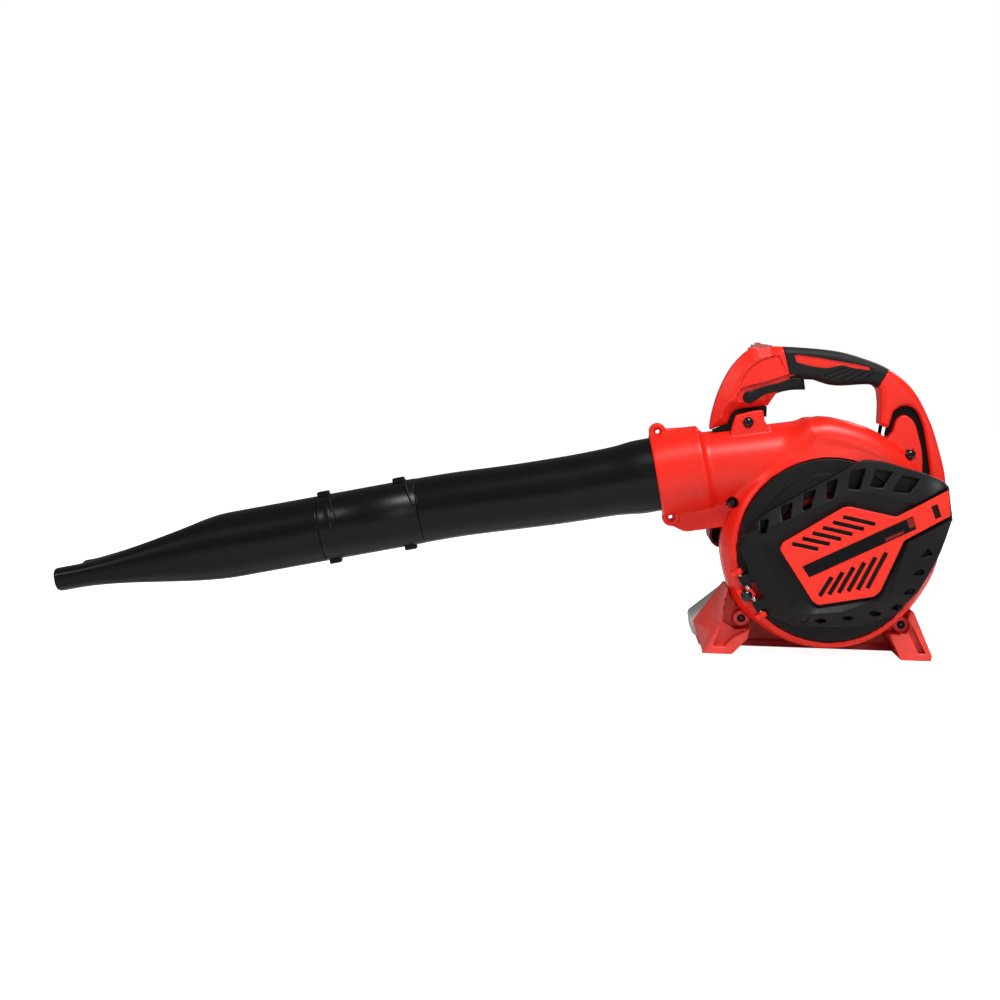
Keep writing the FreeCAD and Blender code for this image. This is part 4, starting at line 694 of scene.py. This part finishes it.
# ---- handle
HANDLE = ([(-121, 270), (-136, 265)]
          + through([(-142, 262), (-140, 280), (-133, 307), (-120, 335), (-103, 355), (-91, 361)], 5)
          + through([(-91, 361), (-60, 363), (-2, 360), (34, 352), (65, 340), (93, 318), (114, 282),
                     (132, 229), (136.5, 200), (136.5, 178)], 6)
          + [(120, 178)]
          + through([(120, 178), (117, 219), (108, 268), (102.5, 284), (95, 294.5), (84, 297.5),
                     (73, 291), (69, 280)], 6)
          + [(66, 271)]
          + through([(56, 276), (55, 304), (51, 318), (40, 321.5), (3, 319), (-22, 325)], 6)
          + through([(-22, 325), (-46, 324), (-62, 312), (-75, 293)], 6)
          + [(-108, 288), (-114, 285), (-118, 280)])
GRIP_ZONE = [(-61.5, 368), (-49, 322), (-30, 300), (30, 300), (51, 316), (70, 349), (40, 375)]
WINDOW = [(-47, 353), (-42, 354), (-17, 351), (26, 345), (41, 342), (43, 338), (23, 340), (10, 343.2),
          (-9, 339), (-27, 341), (-44, 345)]
FACET = through([(-109, 310), (-103, 330), (-86, 346), (-65, 353)], 5) + [(-54, 330), (-69, 321), (-99, 313)]
BLADE_SLOT = [(-97, 292), (-82, 306), (-78, 323), (-50, 336.5), (-30, 340), (-22, 334), (-24, 316),
              (-70, 285)]
PX, PZ = -98.0, 302.0  # the throttle trigger's pivot


def handle_form():
    outline = polygon(HANDLE)
    soft = prism(outline, -HANDLE_HALF, HANDLE_HALF, 9.5)
    firm = prism(outline, -HANDLE_HALF, HANDLE_HALF, 3.5)

    def field(x, y, z):
        share = np.clip((z - 275) / 40, 0, 1)
        bevel = 3 + 9.5 * np.clip((-52 - x) / 22, 0, 1)
        slope = (np.abs(y) - HANDLE_HALF + 0.75 * (outline(x, z) + bevel)) * 0.8
        return np.maximum(firm(x, y, z) * (1 - share) + soft(x, y, z) * share, slope)

    return field


def build_handle():
    form = handle_form()
    zone = slab(GRIP_ZONE, -40, 40)
    body = union(cut(form, zone), both(grow(form, -1.7), grow(zone, 2)))
    body = cut(body, prism(scroll(-0.7), -60, 60))
    lever_room = slab(eased_corners([(-110, 290), (-112, 304), (-106, 313), (-78, 321), (-52, 331),
            (-28, 329), (-28, 308), (-58, 300), (-84, 292), (-98, 288)], 4), -22, -17.0)
    blade_slot = slab(BLADE_SLOT, -8, 8)
    switch = block((-84, 0, 366), (12.3, 9.3, 4.6))
    facet = both(slab(FACET, -30, -10), lambda x, y, z: (y + 20 - 0.075 * (z - 318 - 0.42 * (x + 80))) * 0.95)
    hollow = both(prism(grow_face(polygon(HANDLE), -4.4), -15.4, 15.4, 3), grow(form, -3.4))
    cable = union(rod((62, 8, 303), (62, 11, 275), 3.2), rod((62, 11, 277), (65, 50, 259), 3.2))
    spots = [(-126, 296), (-116, 321), (82, 318), (127, 214)]
    screws = y_rods(spots, 1.7, -12, 12)
    body = soft_cut(0.5, body, facet)
    body = soft_cut(0.6, body, lever_room)
    body = cut(body, hollow, blade_slot, switch, cable, y_rod(PX, PZ, PIN_HOLE, -40, 40),
               block((-84, 0, 355), (9.2, 6.2, 8)))
    seat = cut(both(block((-84, 0, 356), (15, 11.5, 5.6), rounding=1.5), grow(form, 2.5)),
               block((-84, 0, 355), (9.2, 6.2, 8)), switch)
    body = union(body, seat)
    posts = [cut(y_rod(PX, PZ, 6, y, y + 7), y_rod(PX, PZ, PIN_HOLE, -40, 40)) for y in (-16, 9)]
    posts += [both(y_rod(x, z, 4.5, -16, 16), form) for x, z in spots]
    body = cut(union(body, *posts), *screws)
    low, high = (-144, -21, 176), (139, 21, 366)
    moulded("handle_near_side", both(body, below_y(-HALF_GAP)), low, (high[0], 0.5, high[2]), 1.3,
            "frame", "red_plastic", RED, ["handle_near_half"])
    moulded("handle_far_side", both(body, above_y(HALF_GAP)), (low[0], -0.5, low[2]), high, 1.9, "frame",
            "red_plastic", RED, ["handle_far_half"])
    sleeve = cut(both(form, grow(zone, -0.25)), grow(form, -2.6))
    windows = [slab(eased_corners(WINDOW, 1.5), y, y + 14) for y in (-24.0, 10.0)]
    lines = union(*[lean_box(-10 + 9.3 * k, 330 - 1.8 * k, 17 + 7.5 * k, 341 - 1.6 * k, 1.5, -24, 24)
                    for k in range(5)])
    scores = both(lines, lambda x, y, z: 8 - np.abs(y), lambda x, y, z: -0.9 - form(x, y, z))
    sleeve = soft_cut(0.5, sleeve, *windows, scores)
    sleeve = cut(sleeve, grow(blade_slot, 0.4), lever_room)
    moulded("grip_sleeve_soft", sleeve, (-63, -21, 314), (68, 21, 366), 0.95, "frame", "black_plastic",
            GRIP, ["grip_sleeve"])
    trigger = blend(2, slab([(PX, PZ + 6), (-74, 317)]
                            + through([(-74, 317), (-60, 321), (-45, 325), (-33, 326)], 4)
                            + through([(-31, 313), (-48, 312), (-62, 308.5), (-72, 303), (-82, 297)], 4)
                            + [(PX, PZ - 5)], -6.5, 6.5, 1.6),
                    y_rod(PX, PZ, 6.5, -8.5, 8.5, 0.8))
    trigger = cut(union(trigger, block((PX, 0, PZ + 8.5), (2.5, 3, 8.5), rounding=0.5)),
                  y_rod(PX, PZ, PIN_HOLE, -20, 20))
    moulded("throttle_trigger_blade", trigger, (-107, -9, 294), (-28, 9, 328), 0.8, "trigger",
            "black_plastic", BLACK, ["throttle_trigger"])
    lever = slab(through([(PX - 4, PZ + 6), (-80, 316), (-62, 321), (-48, 327)], 4)
                 + [(-38, 326), (-40, 318)]
                 + through([(-40, 318), (-62, 311), (-80, 306), (-88, 300), (PX + 3, PZ - 5.6)], 4),
                 -22.5, -17.9, 1.3)
    lever = blend(2.5, lever, y_rod(PX, PZ, 7, -23.1, -17.9, 1.6))
    lever = cut(lever, y_rod(PX, PZ, PIN_HOLE, -21, -10))
    moulded("cruise_lever_arm", lever, (-107, -24, 293), (-35, -17, 329), 0.7, "cruise_control",
            "black_plastic", BLACK, ["cruise_lever"])


def build_mounts():
    """Black rubber that closes the gaps between the handle and the housing's two lugs."""
    tongue, lug = polygon(REAR_TONGUE), polygon(FRONT_LUG)
    arch = polygon(through([(119, 180), (116.4, 219), (107.4, 268), (102, 283.6), (94.7, 293.9),
            (84, 296.9), (73.5, 290.6), (69.5, 280)], 6) + [(66, 262), (74, 248), (104, 222), (108, 196)])
    rear = cut(prism(grow_face(arch, 0.5), -13.5, 13), prism(grow_face(tongue, 0.4), -30, 30))
    front = cut(slab([(-138, 262.5), (-122, 269), (-118.5, 279.5), (-114.5, 284.6), (-108, 287.5),
                      (-76, 292.3), (-76, 280), (-112, 276), (-117, 258), (-136, 250)], -13.5, 13),
                prism(grow_face(lug, 0.4), -30, 30))
    body = cut(union(rear, front), grow(housing_outside(), 0.4))
    moulded("handle_mount_rubber", body, (-140, -14.5, 170), (121, 14, 299), 1.3, "frame", "rubber", RUBBER,
            ["handle_mount_rubbers"])


# ---- screws
def screw_field(x, z, head, length, radius, shank, height=4.0):
    ball_r = (radius ** 2 + height ** 2) / (2 * height)
    top = both(ball((x, head - height + ball_r, z), ball_r),
               y_rod(x, z, radius, head - height - 1, head, 0.4))
    socket = []
    for k in range(3):
        way = np.array([math.cos(math.pi * k / 3 + 0.4), 0, math.sin(math.pi * k / 3 + 0.4)])
        socket.append(block((x, head - height, z), (radius * 0.4, 2.1, radius * 0.17),
                            (way, (0, 1, 0), (-way[2], 0, way[0])), 0.15))
    return union(cut(top, union(*socket), y_rod(x, z, radius * 0.3, head - height - 2, head - height + 2.1)),
                 y_rod(x, z, shank, head - 0.5, head + length))


def add_screws(name, rows, step, body, slot, mat, nodes):
    """Several screws as one piece: each is meshed in its own small box."""
    all_points, all_faces, all_normals, offset = [], [], [], 0
    for x, z, head, length, radius, shank in rows:
        field = screw_field(x, z, head, length, radius, shank)
        points, quads, normals = skin(field, (x - radius - 1, head - 5.2, z - radius - 1),
                                      (x + radius + 1, head + length + 1, z + radius + 1), step)
        all_points.append(points)
        all_faces.append(quads + offset)
        all_normals.append(normals)
        offset += len(points)
    add_object(name, np.vstack(all_points), np.vstack(all_faces), body, slot, mat, nodes,
               np.vstack(all_normals))


def build_screws():
    rows = [(x, z, y, 24 - y * 0.2, 6.2, 2.0) for x, z, y in HOUSING_SCREWS]
    rows += [(x, z, 39.0, 14.0, 5.0, 2.5) for x, z in ENGINE_BOLTS]
    rows.append((HINGE_SCREW[0], HINGE_SCREW[2], -62.6, 20.0, 7.0, 2.0))
    add_screws("dome_screws", rows, 0.55, "frame", "black_screw", BLACK_SCREW, ["housing_screws"])
    add_screws("stand_dome_screws", [(x, z, -18.0, 34.0, 5.0, 2.0) for x, z in STAND_SCREWS], 0.55,
               "frame", "black_screw", BLACK_SCREW, ["stand_screws"])


# ---- hinge springs
def sweep(path, radius, sides=10):
    """Round wire along a path, with closed ends."""
    path = np.asarray(path, float)
    tangent = np.gradient(path, axis=0)
    tangent /= np.linalg.norm(tangent, axis=1)[:, None]
    turn = 2 * np.pi * np.arange(sides) / sides
    side = np.cross(tangent[0], (0.3, 1, 0.2))
    side /= np.linalg.norm(side)
    points = []
    for p, t in zip(path, tangent):
        side = side - t * (side @ t)
        side /= np.linalg.norm(side)
        up = np.cross(t, side)
        points += [p + radius * (side * math.cos(a) + up * math.sin(a)) for a in turn]
    faces = []
    for i in range(len(path) - 1):
        for j in range(sides):
            k = (j + 1) % sides
            faces.append((i * sides + j, i * sides + k, (i + 1) * sides + k, (i + 1) * sides + j))
    faces.append(tuple(range(sides))[::-1])
    faces.append(tuple(range((len(path) - 1) * sides, len(path) * sides)))
    return np.array(points), faces


def merged(parts):
    points, faces, offset = [], [], 0
    for p, f in parts:
        points.append(p)
        faces += [tuple(int(i) + offset for i in face) for face in f]
        offset += len(p)
    return np.vstack(points), faces


def build_hinge():
    wires = []
    for start in (-10.4, 5.0):
        turns, count = 4.5, 90
        t = np.linspace(0, 1, count)
        angle = 2 * np.pi * turns * t
        path = (HINGE_MID + np.outer(start + 5.4 * t, HINGE_ALONG)
                + 2.5 * (np.outer(np.cos(angle), HINGE_INWARD) + np.outer(np.sin(angle), (0, 1, 0))))
        wires.append(sweep(path, 0.5, 8))
    points, faces = merged(wires)
    add_object("hinge_coils", points, faces, "frame", "bright_spring", SPRING, ["cover_hinge_springs"])
    bracket = blend(1.5, hinge_bar(-4.4, 4.4, -12, 2.0, 2.5, 7.6, 0.8), hinge_rod(-4.4, 4.4, 4.4, 0.6),
                    y_rod(HINGE_SCREW[0], HINGE_SCREW[2], 5.4, -62.6, -53, 0.5),
                    hinge_bar(-10.5, 10.5, -13.5, -7.5, 0.5, 7.6, 1.0))
    bracket = cut(bracket, hinge_rod(-40, 40, HINGE_PIN_R), HINGE_SCREW_HOLE)
    moulded("hinge_bracket_red", bracket, (-112, -64, 58), (-78, -49.8, 92), 0.6, "frame", "red_plastic",
            RED_PANEL, ["cover_hinge_bracket"])


# ---- tubes and nozzle
def rings(sections):
    """Skin through a list of rings with the same number of points."""
    count = len(sections[0])
    points = np.vstack(sections)
    faces = []
    for i in range(len(sections) - 1):
        for j in range(count):
            k = (j + 1) % count
            faces.append((i * count + j, (i + 1) * count + j, (i + 1) * count + k, i * count + k))
    return points, faces


def ring(centre, along, half_y, half_n, power=2.0, dip=0.0, count=96):
    """Ring round an axis in the XZ plane. A power above 2 squares it; dip lowers the middle of its top."""
    normal = np.array([-along[2], 0, along[0]])
    turn = 2 * np.pi * np.arange(count) / count
    across = np.sign(np.cos(turn)) * np.abs(np.cos(turn)) ** (2 / power)
    rise = np.sign(np.sin(turn)) * np.abs(np.sin(turn)) ** (2 / power)
    pinch = np.where(rise > 0, 1 - dip * np.exp(-(across / 0.42) ** 2), 1.0)
    return centre + np.outer(half_y * across, (0, 1, 0)) + np.outer(half_n * rise * pinch, normal)


def way_of(angle):
    return np.array([math.cos(angle), 0, math.sin(angle)])


REAR_TUBE = [(-482.5, 154.6, 38.9), (-471, 157.0, 38.85), (-436, 163.9, 38.7), (-400, 169.8, 38.7),
             (-364, 175.6, 38.9), (-329, 181.7, 39.4), (-293, 188.6, 39.8), (-257, 196.2, 40.6),
             (-241, 199.4, 41.8), (-228, 202.1, 43.4), (-218, 204.2, 43.9), (-196, 209.0, 43.9)]


def dense(stations, steps=5):
    return np.array(through(stations, steps))


def lug(joint, along, radius, side):
    """Bayonet lug on a tube: a small block with a sloping flank."""
    foot = joint + AXIS * along + NORMAL * side * (radius + 0.9)
    return block(foot, (7.2, 8, 3.6), (AXIS, (0, 1, 0), NORMAL), 1.8)


def hook_rib(joint, along, radius, side):
    """Raised guide that runs down from a lug and hooks towards the joint."""
    points = []
    for angle, shift in ((84, 0), (66, 0.3), (48, 1.2), (34, 3), (22, 5.5), (14, 8.5)):
        a = math.radians(angle)
        out = NORMAL * math.sin(a) - np.array([0, math.cos(a), 0])
        points.append(joint + AXIS * (along + 4.5 + shift * side) + (radius + 0.3) * out)
    smooth = np.array(through(points, 6))
    return sweep(smooth, 1.15, 8)


def lug_mesh(joint, along, radius, side, step=0.6):
    centre = joint + AXIS * along + NORMAL * side * (radius + 0.9)
    return skin(lug(joint, along, radius, side), centre - 11, centre + 11, step)[:2]


def tube_shell(outer, inner):
    """Closed tube wall: outer skin, rounded front lip, inner skin and back face."""
    out_points, out_faces = rings(outer)
    in_points, in_faces = rings(inner[::-1])
    count = len(outer[0])
    points = np.vstack([out_points, in_points])
    faces = list(out_faces) + [tuple(i + len(out_points) for i in f) for f in in_faces]
    last_out = (len(outer) - 1) * count
    first_in = len(out_points)
    last_in = len(out_points) + (len(inner) - 1) * count
    for j in range(count):
        k = (j + 1) % count
        faces.append((last_out + j, first_in + j, first_in + k, last_out + k))
        faces.append((last_in + j, j, k, last_in + k))
    return points, faces


def build_tubes():
    stations = dense(REAR_TUBE, 5)
    heading = np.arctan2(np.gradient(stations[:, 1]), np.gradient(stations[:, 0]))
    heading[0] = TILT
    outer = [ring(np.array([x, 0, z]), way_of(h), r - 0.5 * (i == 0), r - 0.5 * (i == 0))
             for i, ((x, z, r), h) in enumerate(zip(stations, heading))]
    lip = stations[0]
    outer.insert(1, ring(np.array([lip[0], 0, lip[1]]) + AXIS * 0.5, AXIS, lip[2], lip[2]))
    bores = stations[:, 2] - TUBE_WALL
    inner = [ring(np.array([x, 0, z]), way_of(h), r, r)
             for (x, z), r, h in zip(stations[:, :2], bores, heading)]
    socket = [ring(FIRST_JOINT + AXIS * s, AXIS, SOCKET_R, SOCKET_R) for s in (0, 30)]
    inner = socket + inner[5:]
    add_object("tube_rear_bent", *tube_shell(outer, inner), "frame", "tube_black", TUBE, ["blower_tube_rear"])

    profile = [(120, 38.9), (119.6, 39.25), (108, 39.3), (104, 39.3), (103.6, 39.0), (103, 39.3), (0.9, 39.3),
               (0.4, 38.8), (0.35, SPIGOT_R), (-28, SPIGOT_R)]
    outer = [ring(FIRST_JOINT - AXIS * s, AXIS, r, r) for s, r in profile]
    inner = [ring(FIRST_JOINT - AXIS * s, AXIS, r, r)
             for s, r in ((120, SOCKET_R), (90, SOCKET_R), (89.5, SPIGOT_BORE), (-28, SPIGOT_BORE))]
    parts = [tube_shell(outer, inner)]
    parts += ([lug_mesh(FIRST_JOINT, -19, 39.3, s) for s in (1, -1)]
              + [lug_mesh(SECOND_JOINT, 9, 39.3, s) for s in (1, -1)])
    parts += [hook_rib(FIRST_JOINT, -15, 39.3, 1), hook_rib(SECOND_JOINT, 12.5, 39.3, 1)]
    add_object("tube_middle_section", *merged(parts), "middle_tube", "tube_black", TUBE,
               ["blower_tube_middle"])

    def section(along, inset):
        share = min(max((along - TAPER_START) / TAPER_LENGTH, 0.0), 1.0)
        e = share * share * (3 - 2 * share)
        half_n = TUBE_R * (1 - e) + MOUTH_HALF_HEIGHT * e - inset
        half_y = TUBE_R * (1 - e) + MOUTH_HALF_WIDTH * e - inset
        return ring(SECOND_JOINT - AXIS * along - NORMAL * 1.5 * e, AXIS, half_y, half_n, 2.0 + 1.2 * e,
                    0.55 * e, 128)

    tip = NOZZLE_LENGTH
    taper = list(np.linspace(314, TAPER_START, 46))
    spots = [tip, tip - 0.8, tip - 2.5] + taper + [80, 40, 17, 14, 2, 0.9, 0.4]
    insets = [0.9, 0.25, 0.0] + [0.0] * 46 + [0, 0, 0, 0, 0, 0, 0.5]
    outer = [section(s, i) for s, i in zip(spots, insets)]
    outer += [ring(SECOND_JOINT - AXIS * s, AXIS, SPIGOT_R, SPIGOT_R, count=128) for s in (0.35, -28)]
    inner = [section(s, 2.6) for s in [tip, tip - 1.0] + taper + [60]]
    inner += [ring(SECOND_JOINT - AXIS * s, AXIS, SPIGOT_BORE, SPIGOT_BORE, count=128) for s in (50, -28)]
    points, faces = tube_shell(outer, inner)
    reach = np.clip((-872 - points[:, 0]) / 38, 0, 1)
    share = np.clip((points[:, 1] + 24) / 48, 0, 1)
    oblique = 19.0 * share * share * (3 - 2 * share)
    points[:, 0] += reach * oblique
    points[:, 2] += reach * oblique * math.tan(TILT)
    add_object("nozzle_flat_mouth", points, faces, "nozzle", "tube_black", TUBE, ["flat_nozzle"])


# ---- CAD nodes that stay
NODE_LOOKS = {"cover_hinge_pin": STEEL, "cover_latch": BLACK, "impeller": GREY_NYLON,
              "impeller_nut": STEEL, "crankshaft": STEEL, "flywheel": CAST, "piston": CAST,
              "crank_bearings": STEEL, "crankcase_fan_side": CAST, "crankcase_starter_side": CAST,
              "cylinder": CAST, "spark_plug": CERAMIC, "spark_plug_cap": RUBBER, "ignition_coil": BLACK,
              "muffler": HOT_STEEL, "muffler_guard": RED_DEEP, "carburettor": CAST, "choke_lever": BLACK,
              "throttle_lever": STEEL, "throttle_cable": RUBBER, "intake_insulator": BLACK,
              "air_cleaner_base": BLACK, "air_filter": FOAM, "air_cleaner_cover": CHARCOAL,
              "air_cleaner_knob": BLACK, "primer_bulb": CLEAR, "fuel_tank": TANK, "fuel_cap": BLACK,
              "fuel_lines": RUBBER, "starter_housing": CHARCOAL, "starter_grip": BLACK,
              "starter_rope": ROPE, "starter_pulley": GREY_NYLON, "engine_shroud": CHARCOAL,
              "stop_switch_base": SWITCH_GREY, "stop_switch_rocker": RED_PANEL,
              "handle_screws": BLACK_SCREW, "trigger_pin": STEEL, "ht_lead": RUBBER,
              "recoil_spring": SPRING, "trigger_spring": SPRING}


def dress_nodes():
    for name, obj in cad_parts.items():
        look = NODE_LOOKS.get(name)
        if look is None:
            continue
        for place in obj.material_slots:
            place.material = look


# ---- view and light
def build_floor():
    floor = bpy.data.materials.new("floor_white")
    floor.use_nodes = True
    nodes, links = floor.node_tree.nodes, floor.node_tree.links
    shader = nodes["Principled BSDF"]
    set_inputs(shader, {"Base Color": (0.9, 0.9, 0.9, 1), "Roughness": 0.8, "Emission Color": (1, 1, 1, 1)})
    lit = nodes.new("ShaderNodeLightPath")
    glow = nodes.new("ShaderNodeMapRange")
    set_inputs(glow, {"To Max": 0.93})
    links.new(lit.outputs["Is Camera Ray"], glow.inputs["Value"])
    links.new(glow.outputs["Result"], shader.inputs["Emission Strength"])
    mesh = bpy.data.meshes.new("floor")
    mesh.from_pydata([(-9, -9, 0), (9, -9, 0), (9, 9, 0), (-9, 9, 0)], [], [(0, 1, 2, 3)])
    mesh.materials.append(floor)
    obj = linked("floor", mesh)


def build_camera():
    turn, lift, roll = math.radians(2.5), math.radians(4.0), math.radians(1.716)
    back = Vector((math.sin(turn) * math.cos(lift), -math.cos(turn) * math.cos(lift), math.sin(lift)))
    right = Vector((math.cos(turn), math.sin(turn), 0))
    up = back.cross(right)
    across = right * math.cos(roll) + up * math.sin(roll)
    upward = up * math.cos(roll) - right * math.sin(roll)
    data = bpy.data.cameras.new("camera")
    data.lens = 72.31
    data.sensor_width = 36
    camera = linked("camera", data)
    place = Matrix((across, upward, back)).transposed().to_4x4()
    place.translation = (0.1068, -2.4389, 0.3378)
    camera.matrix_world = place
    bpy.context.scene.camera = camera


# name, place, target, size and power in watts
LIGHTS = [("key", (0.65, -1.1, 2.0), (0.25, 0, 0.15), (1.0, 0.5), 40),
          ("front", (0.9, -2.3, 0.8), (0.3, 0, 0.2), (0.6, 0.6), 6),
          ("left", (-1.7, -1.4, 1.5), (-0.2, 0, 0.15), (0.6, 0.6), 13),
          ("rim", (1.3, 1.3, 1.6), (0.3, 0, 0.2), (0.8, 0.8), 14)]


def area_light(name, location, target, size, power):
    data = bpy.data.lights.new(name, "AREA")
    data.shape = "RECTANGLE"
    data.size, data.size_y = size
    data.energy = power
    lamp = linked(name, data)
    lamp.location = location
    lamp.rotation_euler = (Vector(target) - Vector(location)).to_track_quat("-Z", "Y").to_euler()


def build_light():
    world = bpy.data.worlds.new("studio")
    world.use_nodes = True
    nodes = world.node_tree.nodes
    sky = nodes["Background"]
    set_inputs(sky, {"Color": (1, 1, 1, 1), "Strength": 0.16})
    seen = nodes.new("ShaderNodeBackground")
    set_inputs(seen, {"Color": (1, 1, 1, 1)})
    path = nodes.new("ShaderNodeLightPath")
    mix = nodes.new("ShaderNodeMixShader")
    links = world.node_tree.links
    links.new(path.outputs["Is Camera Ray"], mix.inputs["Fac"])
    links.new(sky.outputs["Background"], mix.inputs[1])
    links.new(seen.outputs["Background"], mix.inputs[2])
    links.new(mix.outputs["Shader"], nodes["World Output"].inputs["Surface"])
    bpy.context.scene.world = world
    bpy.context.scene.view_settings.view_transform = "Standard"
    for name, place, target, size, power in LIGHTS:
        area_light(name, place, target, size, power)


build_housing()
build_cover()
build_stand()
build_handle()
build_mounts()
build_screws()
build_hinge()
build_tubes()
dress_nodes()
build_floor()
build_camera()
build_light()
